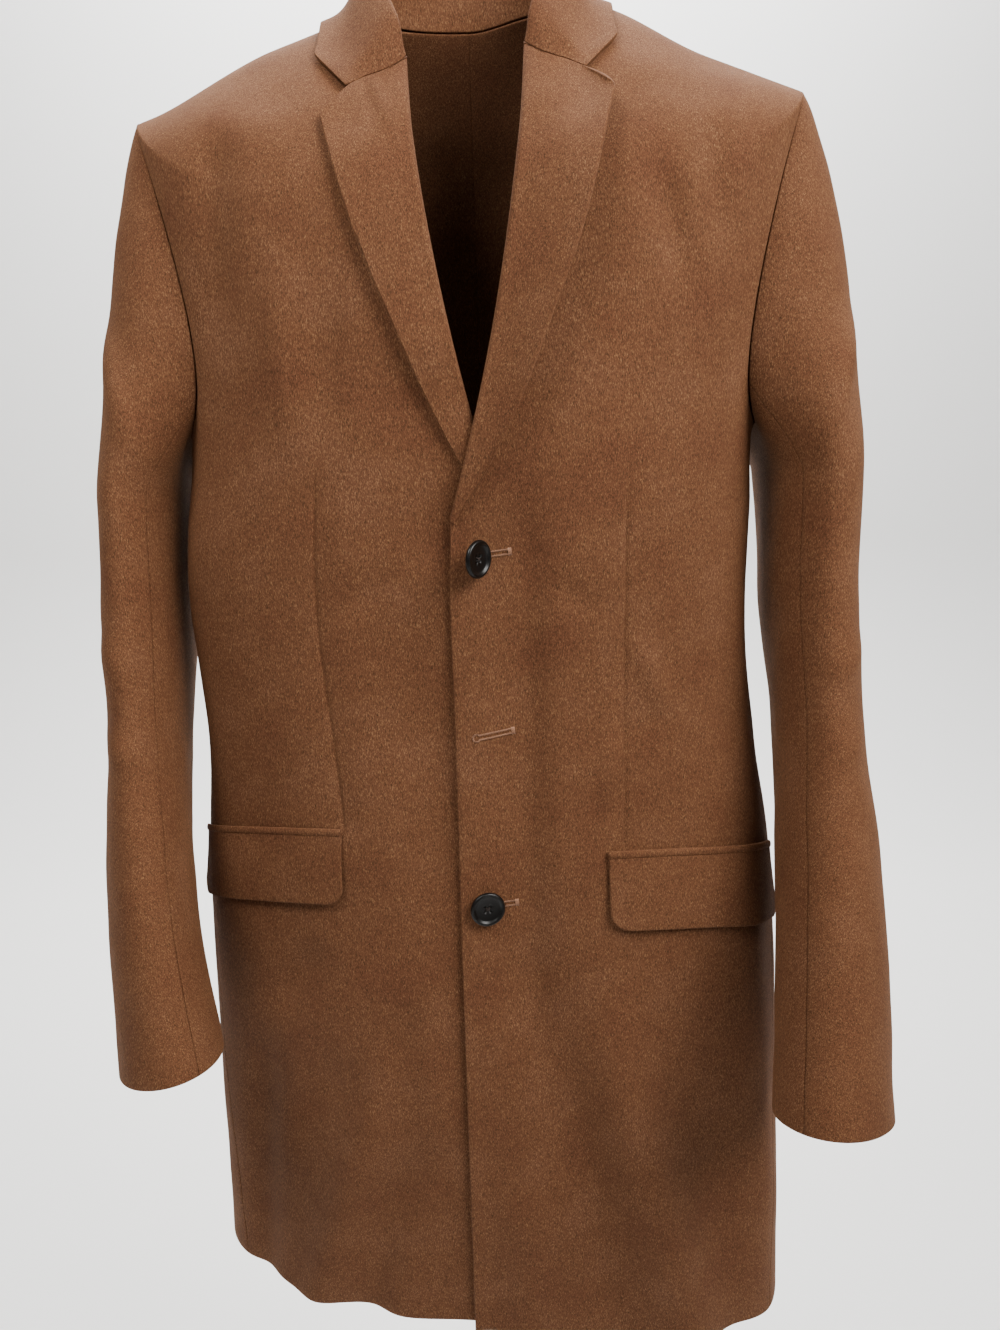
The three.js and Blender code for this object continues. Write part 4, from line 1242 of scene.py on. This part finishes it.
def hole_stitches(index, slope):
    """The threads round one buttonhole and across its end."""
    points, outwards = hole_outline(HOLE["pitch"])
    chance = np.random.default_rng(STITCH_SEED + index)
    offsets = np.array(STITCH["out"])[None, :, None] * chance.uniform(*STITCH_LENGTHS, (len(points), 1, 1))
    local = points[:, None] + outwards[:, None] * offsets
    lifts = np.broadcast_to(np.array(STITCH["lift"]), local.shape[:2])
    paths = list(on_hole(local, lifts, index, slope))
    for bar in range(BAR["threads"]):
        half = BAR["half"] + chance.uniform(-BAR["uneven"], BAR["uneven"])
        across = np.linspace(-half, half, BAR["points"])
        along = np.full(BAR["points"], HOLE["length"] + BAR["start"] + bar * BAR["pitch"])
        lifts = BAR["top"] - BAR["fall"] * (np.abs(across) / half) ** 3
        paths.append(on_hole(np.stack([along, across], axis=-1), lifts, index, slope))
    return [tube(path, HOLE["thread"]) for path in paths]


for label, index, slope in HOLES:
    name = "thread_buttonhole_" + label
    PIECES[name] = joined(name, hole_stitches(index, slope))
print("stitches round the top buttonhole:", len(hole_outline(HOLE["pitch"])[0]))

# %% [markdown]
# The buttons are turned from polyester resin: a thick rounded rim, a dished middle and four
# drilled holes. A button is made at the origin, with its face up, and then moved to its place
# on the front. The top one has been pulled round by the cloth, so it leans.

# %% Buttons
# radius and height of a button's outline, from the middle of its underside to its face, in mm
BUTTON_PROFILE = [
    (0, 0), (7.0, 0), (9.6, 0.15), (11.2, 0.6), (12.1, 1.3), (12.5, 2.2), (12.35, 3.1), (11.9, 3.8),
    (11.2, 4.2), (10.5, 4.15), (9.9, 3.8), (9.4, 3.2), (8.8, 2.75), (7.9, 2.5), (5.0, 2.35), (0, 2.3),
]
BUTTON_SEGMENTS = 96
HOLE_OFFSET = 1.35
HOLE_PLACES = np.array([(1, 1), (1, -1), (-1, -1), (-1, 1)]) * HOLE_OFFSET
DRILL = dict(radius=0.85, sides=20, reach=(-2.0, 6.0))


def front_frame(x, z, lift):
    """The matrix of a thing that sits on the left front: its Z is the cloth's normal."""
    near = on_front(np.array([x, x + 2, x]), np.array([z, z, z + 2]), np.full(3, lift), "left")
    level = unit(near[1] - near[0])
    up = unit(near[2] - near[0])
    out = unit(np.cross(level, up))
    up = np.cross(out, level)
    return Matrix([[level[k], up[k], out[k], near[0][k]] for k in range(3)] + [[0, 0, 0, 1]])


def moved(points, matrix):
    """Points in mm, moved by a matrix in mm."""
    array = np.array(matrix)
    return np.asarray(points) @ array[:3, :3].T + array[:3, 3]


def turned_disc():
    """Points and faces of a button without its holes."""
    count = BUTTON_SEGMENTS
    turns = np.linspace(0, 2 * math.pi, count, endpoint=False)
    circle = np.stack([np.cos(turns), np.sin(turns)], axis=-1)
    points = [(0.0, 0.0, BUTTON_PROFILE[0][1])]
    for radius, height in BUTTON_PROFILE[1:-1]:
        points.extend(np.column_stack([radius * circle, np.full(count, height)]).tolist())
    points.append((0.0, 0.0, BUTTON_PROFILE[-1][1]))
    last = len(points) - 1
    faces = [(0, 1 + (k + 1) % count, 1 + k) for k in range(count)]
    for ring in range(len(BUTTON_PROFILE) - 3):
        start = 1 + ring * count
        for k in range(count):
            n = (k + 1) % count
            faces.append((start + k, start + n, start + count + n, start + count + k))
    start = last - count
    faces.extend([(start + k, start + (k + 1) % count, last) for k in range(count)])
    return points, faces


def drills(matrix):
    """The closed shapes that cut a button's four holes."""
    paths = [np.array([(x, y, height) for height in DRILL["reach"]]) for x, y in HOLE_PLACES]
    return [tube(moved(path, matrix), DRILL["radius"], DRILL["sides"]) for path in paths]


print("a button is", 2 * max(radius for radius, _ in BUTTON_PROFILE), "mm across")

# %% [markdown]
# Thread goes up through a hole and down through the one opposite, three times for each pair,
# so that it makes a cross. Under the button it is wound round itself to a shank, which leaves
# room for the cloth that is buttoned.

# %% Button threads
# in mm: a thread's radius, where three of them lie side by side, and how far one lot is above the other
CROSS = dict(radius=0.22, shifts=(-0.32, 0.0, 0.32), over=0.12)
CROSS_SHARES = np.array([0.0, 0.02, 0.15, 0.5, 0.85, 0.98, 1.0])
CROSS_HEIGHTS = np.array([0.9, 2.1, 2.75, 2.95, 2.75, 2.1, 0.9])
# in mm: the foot starts just inside the cloth, and the top ends just inside the button
SHANK = dict(radius=1.5, thread=0.3, pitch=0.45, least=3, points=15, foot=-0.3, top=0.2)


def cross_threads(matrix):
    """The threads that cross over the four holes of a button."""
    threads = []
    for one, two in ((0, 2), (1, 3)):
        a, b = HOLE_PLACES[one], HOLE_PLACES[two]
        sideways = np.array([-(b - a)[1], (b - a)[0]]) / np.linalg.norm(b - a)
        heights = CROSS_HEIGHTS + (CROSS["over"] if one else 0.0)
        for shift in CROSS["shifts"]:
            flat = mix(a, b, CROSS_SHARES[:, None]) + sideways * shift
            threads.append(tube(moved(np.column_stack([flat, heights]), matrix), CROSS["radius"]))
    return threads


def shank_threads(matrix, foot):
    """The rings of thread from the cloth, at the matrix of the foot, to a button's underside."""
    turns = np.linspace(0, 2 * math.pi, SHANK["points"])
    ring = np.stack([SHANK["radius"] * np.cos(turns), SHANK["radius"] * np.sin(turns), 0 * turns], -1)
    on_foot, on_disc = moved(ring, foot), moved(ring, matrix)
    start = moved(np.array([[0.0, 0.0, 0.0]]), foot)[0]
    end = moved(np.array([[0.0, 0.0, SHANK["top"]]]), matrix)[0]
    winds = max(SHANK["least"], int(np.linalg.norm(end - start) / SHANK["pitch"]))
    threads = []
    for wind in range(winds + 1):
        share = wind / winds
        lean = mix(on_foot - on_foot.mean(0), on_disc - on_disc.mean(0), share)
        threads.append(tube(mix(start, end, share) + lean, SHANK["thread"]))
    return threads


def button(label, x, z, turn, lift):
    """A sewn-on button at x and z of the left front, lift mm above it and turned by some degrees."""
    matrix = front_frame(x, z, lift) @ Matrix.Rotation(math.radians(turn), 4, "Y")
    points, faces = turned_disc()
    disc = joined("resin_button_" + label, [(moved(points, matrix), faces)])
    cut_through(disc, drills(matrix))
    PIECES["resin_button_" + label] = disc
    threads = cross_threads(matrix) + shank_threads(matrix, front_frame(x, z, SHANK["foot"]))
    PIECES["thread_button_" + label] = joined("thread_button_" + label, threads)


button("top", -1.0, FIRST_BUTTON, 42.0, 8.4)
button("bottom", 0.0, FIRST_BUTTON - 2 * BUTTON_SPACING, 3.0, 1.4)
print("button faces:", len(PIECES["resin_button_top"].data.polygons))

# %% [markdown]
# Colours are given as on a screen and turned to linear light by one function. Another one adds
# a node with its settings and links. Every material below is made with these.

# %% Colours and nodes


def linear(code):
    """A hex colour, as on a screen, in linear light."""
    values = [int(code[i:i + 2], 16) / 255 for i in (0, 2, 4)]
    return [v / 12.92 if v <= 0.04045 else ((v + 0.055) / 1.055) ** 2.4 for v in values] + [1.0]


def add(tree, kind, settings=None, inputs=None, stops=()):
    """Adds a node with its settings, its inputs as values or links, and the stops of its ramp."""
    made = tree.nodes.new(kind)
    for key, value in (settings or {}).items():
        setattr(made, key, value)
    for key, value in (inputs or {}).items():
        if isinstance(value, bpy.types.NodeSocket):
            tree.links.new(value, made.inputs[key])
        else:
            made.inputs[key].default_value = value
    if stops:
        elements = made.color_ramp.elements
        while len(elements) < len(stops):
            elements.new(0.5)
        for element, (place, code) in zip(elements, stops):
            element.position = place
            element.color = linear(code)
    return made


def blank(name):
    """A new material with an empty node tree, and the tree."""
    material = bpy.data.materials.new(name)
    material.use_nodes = True
    material.node_tree.nodes.clear()
    return material, material.node_tree


print("the cloth's middle brown in linear light:", [round(v, 3) for v in linear("6a452e")])

# %% [markdown]
# The cloth is wool melton: woven, then fulled until it felts, then brushed. No weave shows. The
# eye sees a matt, slightly uneven surface with a short nap of dark and light brown fibres, which
# lie mostly up and down the coat, and whose tips catch a little light at a glancing angle. That
# is what sheen is for. A wool fibre is 0.02 to 0.03 mm thick, which is too fine to show, so the
# nap is drawn as tufts of 0.6 mm and as specks of 0.45 mm, as coarse as they need to be.

# %% Wool melton
# sizes in metres: tufts of nap, specks of one colour, felted swells, and patches of painted shade where the
# nap was brushed the other way
NAP_SIZE = 0.0006
SPECK_SIZE = 0.00045
SWELL_SIZE = 0.00625
CLOUD_SIZE = 0.045
NAP_HEIGHT = 0.0006
# heights count 0.3 of what they are, which draws the tufts about three times longer along the coat
FIBRE_STRETCH = (1.0, 1.0, 0.3)
HEATHER = [(0.34, "382413"), (0.46, "583825"), (0.54, "6a452e"), (0.67, "8e6c4c")]
# painted shade: the cloth's colour is darkened in soft patches, about 45 mm across, where the nap was
# brushed the other way and catches less light
BRUSHED_NAP_SHADE = [(0.3, "e8ddd6"), (0.5, "f4f0e8"), (0.7, "ffffff")]
# a mix node has sockets of several kinds under one name, so its colours go by their numbers
COLOUR_A, COLOUR_B, COLOUR_OUT = 6, 7, 2


def wool():
    """Brushed wool melton in heathered tobacco brown."""
    material, tree = blank("wool_melton_brushed")
    where = add(tree, "ShaderNodeTexCoord").outputs["Object"]
    lying = add(tree, "ShaderNodeMapping", None,
                {"Vector": where, "Scale": FIBRE_STRETCH}).outputs["Vector"]
    nap = add(tree, "ShaderNodeTexNoise", None, {
        "Vector": lying, "Scale": 1 / NAP_SIZE, "Detail": 3.0, "Roughness": 0.62, "Distortion": 0.6,
    })
    specks = add(tree, "ShaderNodeTexNoise", None, {
        "Vector": lying, "Scale": 1 / SPECK_SIZE, "Detail": 2.0, "Roughness": 0.7,
    })
    clouds = add(tree, "ShaderNodeTexNoise", None, {
        "Vector": where, "Scale": 1 / CLOUD_SIZE, "Detail": 3.0, "Roughness": 0.55,
    })
    swells = add(tree, "ShaderNodeTexNoise", None, {
        "Vector": where, "Scale": 1 / SWELL_SIZE, "Detail": 2.0, "Roughness": 0.5,
    })
    fibre = add(tree, "ShaderNodeMix", {"data_type": "FLOAT"}, {
        "Factor": 0.42, "A": nap.outputs["Fac"], "B": specks.outputs["Fac"],
    }).outputs["Result"]
    heather = add(tree, "ShaderNodeValToRGB", None, {"Fac": fibre}, HEATHER)
    # painted shade of the brushed nap, in patches, multiplied into the fibres' colour
    brushed_nap_shade = add(tree, "ShaderNodeValToRGB", None, {"Fac": clouds.outputs["Fac"]}, BRUSHED_NAP_SHADE)
    colour = add(tree, "ShaderNodeMix", {"data_type": "RGBA", "blend_type": "MULTIPLY"}, {
        "Factor": 1.0, COLOUR_A: heather.outputs["Color"], COLOUR_B: brushed_nap_shade.outputs["Color"],
    })
    fine = add(tree, "ShaderNodeBump", None, {
        "Height": fibre, "Strength": 0.55, "Distance": NAP_HEIGHT,
    })
    felt = add(tree, "ShaderNodeBump", None, {
        "Height": swells.outputs["Fac"], "Strength": 0.35, "Distance": NAP_HEIGHT,
        "Normal": fine.outputs["Normal"],
    })
    shader = add(tree, "ShaderNodeBsdfPrincipled", None, {
        "Base Color": colour.outputs[COLOUR_OUT], "Roughness": 0.93, "IOR": 1.54,
        "Specular IOR Level": 0.16, "Sheen Weight": 0.08, "Sheen Roughness": 0.5,
        "Sheen Tint": linear("c88e52"), "Normal": felt.outputs["Normal"],
    })
    add(tree, "ShaderNodeOutputMaterial", None, {"Surface": shader.outputs["BSDF"]})
    return material


WOOL = wool()
print("the wool has", len(WOOL.node_tree.nodes), "nodes")

# %% [markdown]
# The buttonholes are sewn with silk twist, 0.4 mm thick, and the buttons with spun polyester
# thread. Both are twisted from fine filaments, so the eye sees a soft lustre that is broken up
# along the thread. The filaments are too fine to show, so that lustre is painted into the colour:
# light spots of painted highlight and dark spots of painted shade, one for about each thickness of the
# thread.

# %% Threads
THREAD_LUSTRE_SPOT = MM / 2.2
THREAD_RELIEF = 0.0002


def thread(name, dark, light):
    """A twisted thread whose colour runs between a painted shade and a painted highlight."""
    material, tree = blank(name)
    where = add(tree, "ShaderNodeTexCoord").outputs["Object"]
    lustre_spots = add(tree, "ShaderNodeTexNoise", None, {
        "Vector": where, "Scale": 1 / THREAD_LUSTRE_SPOT, "Detail": 2.0,
    }).outputs["Fac"]
    # painted highlight and painted shade: light and dark spots along the thread stand in for its broken
    # lustre
    colour = add(tree, "ShaderNodeValToRGB", None, {"Fac": lustre_spots}, [(0.3, dark), (0.7, light)])
    bump = add(tree, "ShaderNodeBump", None, {
        "Height": lustre_spots, "Strength": 0.4, "Distance": THREAD_RELIEF,
    })
    shader = add(tree, "ShaderNodeBsdfPrincipled", None, {
        "Base Color": colour.outputs["Color"], "Roughness": 0.6, "IOR": 1.54,
        "Specular IOR Level": 0.2, "Sheen Weight": 0.1, "Normal": bump.outputs["Normal"],
    })
    add(tree, "ShaderNodeOutputMaterial", None, {"Surface": shader.outputs["BSDF"]})
    return material


SILK = thread("silk_twist_thread", "6f4a34", "a67c60")
POLYESTER = thread("polyester_button_thread", "17100c", "2e211a")
print("threads:", SILK.name, POLYESTER.name)

# %% [markdown]
# The buttons are polyester resin, dyed black right through, turned and then tumbled to a
# polish. The eye sees a nearly black body with clear highlights that are a little softer in
# some places than in others, where about each millimetre has worn differently.

# %% Polyester resin
RESIN_SPOT = MM / 0.9
RESIN_RELIEF = 0.0002
RESIN_BLACKS = [(0.35, "060403"), (0.7, "0d0a08")]


def resin():
    """Polished black polyester resin."""
    material, tree = blank("polyester_resin_black")
    where = add(tree, "ShaderNodeTexCoord").outputs["Object"]
    wear = add(tree, "ShaderNodeTexNoise", None, {
        "Vector": where, "Scale": 1 / RESIN_SPOT, "Detail": 3.0, "Roughness": 0.6,
    }).outputs["Fac"]
    colour = add(tree, "ShaderNodeValToRGB", None, {"Fac": wear}, RESIN_BLACKS)
    rough = add(tree, "ShaderNodeMapRange", None, {"Value": wear, "To Min": 0.26, "To Max": 0.4})
    bump = add(tree, "ShaderNodeBump", None, {
        "Height": wear, "Strength": 0.06, "Distance": RESIN_RELIEF,
    })
    shader = add(tree, "ShaderNodeBsdfPrincipled", None, {
        "Base Color": colour.outputs["Color"], "Roughness": rough.outputs["Result"], "IOR": 1.55,
        "Specular IOR Level": 0.25, "Normal": bump.outputs["Normal"],
    })
    add(tree, "ShaderNodeOutputMaterial", None, {"Surface": shader.outputs["BSDF"]})
    return material


RESIN = resin()
print("the resin has", len(RESIN.node_tree.nodes), "nodes")

# %% [markdown]
# Each piece gets the material that the start of its name says.

# %% Finishes
FINISHES = {"cloth": WOOL, "thread_buttonhole": SILK, "thread_button_": POLYESTER, "resin": RESIN}
for name, piece in PIECES.items():
    finish = next(FINISHES[start] for start in FINISHES if name.startswith(start))
    piece.data.materials.clear()
    piece.data.materials.append(finish)
print("materials:", [material.name for material in FINISHES.values()])

# %% [markdown]
# Each piece is tied to the frame: it rides on the coat's one body. Cloth and buttons stand for
# their nodes. A table lists how each cloth piece was cut: the width and length of the flat
# pattern of the part that shows, without seam allowances, and the area of its outline.

# %% Ties to the frame
# piece name, flat width in metres, flat length in metres, area in square metres
CUTS = [
    ("front_left", 0.36, 1.04, 0.27),
    ("front_right", 0.36, 1.04, 0.27),
    ("back_left", 0.34, 1.04, 0.285),
    ("back_right", 0.34, 1.04, 0.285),
    ("lapel_left", 0.11, 0.32, 0.0165),
    ("lapel_right", 0.11, 0.32, 0.0165),
    ("collar", 0.50, 0.13, 0.045),
    ("top_sleeve_left", 0.28, 0.74, 0.15),
    ("top_sleeve_right", 0.28, 0.74, 0.15),
    ("under_sleeve_left", 0.17, 0.62, 0.076),
    ("under_sleeve_right", 0.17, 0.62, 0.076),
    ("pocket_flap_left", 0.19, 0.07, 0.0115),
    ("pocket_flap_right", 0.18, 0.07, 0.0103),
    ("pocket_jet_left", 0.18, 0.012, 0.0014),
    ("pocket_jet_right", 0.17, 0.012, 0.0012),
]


def cloth_area(piece):
    """Half the mesh's area, in square metres: one face of the sheet."""
    return sum(polygon.area for polygon in piece.data.polygons) / 2


for node, width, length, area in CUTS:
    piece = PIECES["cloth_" + node]
    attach(piece, "root")
    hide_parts(node)
    print(node, "shows", round(cloth_area(piece), 4), "of", area, "square metres")
for label in ("top", "bottom"):
    disc = PIECES["resin_button_" + label]
    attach(disc, "root")
    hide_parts("button_" + label)
for name, piece in PIECES.items():
    if name.startswith("thread"):
        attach(piece, "root")

# %% [markdown]
# The coat is shown in a plain pale studio. A wide sheet of paper is the floor, well below the
# hem, and curves up to the backdrop behind it, so that no line shows where they meet.

# %% Stage
# the paper's height in metres, its sides, its front end, where it bends, and its top
PAPER = dict(floor=-1.48, half=5.0, front=-4.0, bend=1.6, radius=0.8, top=5.0)
BEND_STEPS = 13


def stage_sheet():
    """A floor that curves up to a backdrop."""
    bend, radius = PAPER["bend"], PAPER["radius"]
    profile = [(PAPER["front"], 0.0), (bend, 0.0)]
    for turn in np.radians(np.linspace(0, 90, BEND_STEPS))[1:]:
        profile.append((bend + radius * math.sin(turn), radius - radius * math.cos(turn)))
    profile.append((bend + radius, PAPER["top"]))
    points = [(x, y, PAPER["floor"] + z) for y, z in profile for x in (-PAPER["half"], PAPER["half"])]
    faces = [(2 * k, 2 * k + 1, 2 * k + 3, 2 * k + 2) for k in range(len(profile) - 1)]
    made = smooth_object("studio_sheet", points, faces)
    material, tree = blank("studio_paper")
    shader = add(tree, "ShaderNodeBsdfPrincipled", None, {
        "Base Color": linear("f4f3f1"), "Roughness": 0.9,
    })
    add(tree, "ShaderNodeOutputMaterial", None, {"Surface": shader.outputs["BSDF"]})
    made.data.materials.append(material)


stage_sheet()
print("the floor is at z", PAPER["floor"], "m")

# %% [markdown]
# A large soft light stands high on the wearer's left and rakes across the front, so that the
# folds and the lapels' edges show. A weaker one on the other side keeps the shaded flanks
# readable, one lights the backdrop, and a faint even sky fills in the rest.

# %% Light
SKY = dict(colour=(1.0, 1.0, 1.0, 1.0), strength=0.2)


def area_light(name, place, aim, size, power, colour, spread=180.0):
    """A round soft light of some size, at a place and looking at another."""
    lamp = bpy.data.lights.new(name, "AREA")
    lamp.shape = "DISK"
    lamp.size = size
    lamp.energy = power
    lamp.color = colour
    lamp.spread = math.radians(spread)
    made = bpy.data.objects.new(name, lamp)
    made.location = place
    made.rotation_euler = (Vector(aim) - Vector(place)).to_track_quat("-Z", "Y").to_euler()
    bpy.context.scene.collection.objects.link(made)


area_light("key", (1.22, -0.92, 0.95), (0.0, -0.05, 0.0), 1.4, 22.0, (1.0, 0.98, 0.95), 88.0)
area_light("top", (-0.8, -0.8, 1.0), (-0.1, -0.05, -0.2), 0.8, 9, (1.0, 0.99, 0.97), 100.0)
area_light("backdrop_light", (0.0, 1.3, 2.2), (0.0, 2.4, -0.6), 2.0, 280, (1.0, 1.0, 1.0))
world = bpy.data.worlds.new("soft_studio")
bpy.context.scene.world = world
world.use_nodes = True
world.node_tree.nodes.clear()
sky = add(world.node_tree, "ShaderNodeBackground", None, {
    "Color": SKY["colour"], "Strength": SKY["strength"],
})
add(world.node_tree, "ShaderNodeOutputWorld", None, {"Surface": sky.outputs["Background"]})
print("lights:", [item.name for item in bpy.data.lights])

# %% [markdown]
# The camera stands close in front of the chest and is tipped down a little. Its place, its
# tilt and its lens were fitted until the coat's outline fell where it should.

# %% Camera
CAMERA = dict(place=(0.018, -0.745, -0.266), pitch=14.4, yaw=-0.45, roll=-1.36, lens=26.39)
SENSOR_WIDTH = 36.0
NEAREST = 0.02
lens = bpy.data.cameras.new("camera")
lens.lens = CAMERA["lens"]
lens.sensor_width = SENSOR_WIDTH
lens.clip_start = NEAREST
camera = bpy.data.objects.new("camera", lens)
pitch, yaw, roll = (math.radians(CAMERA[key]) for key in ("pitch", "yaw", "roll"))
forward = Vector((math.sin(yaw) * math.cos(pitch), math.cos(yaw) * math.cos(pitch), -math.sin(pitch)))
level = Vector((math.cos(yaw), -math.sin(yaw), 0.0))
upward = level.cross(forward)
right = level * math.cos(roll) + upward * math.sin(roll)
upward = upward * math.cos(roll) - level * math.sin(roll)
camera.matrix_world = Matrix([
    [right[k], upward[k], -forward[k], CAMERA["place"][k]] for k in range(3)
] + [[0, 0, 0, 1]])
bpy.context.scene.collection.objects.link(camera)
bpy.context.scene.camera = camera
print("camera at", CAMERA["place"], "lens", CAMERA["lens"])
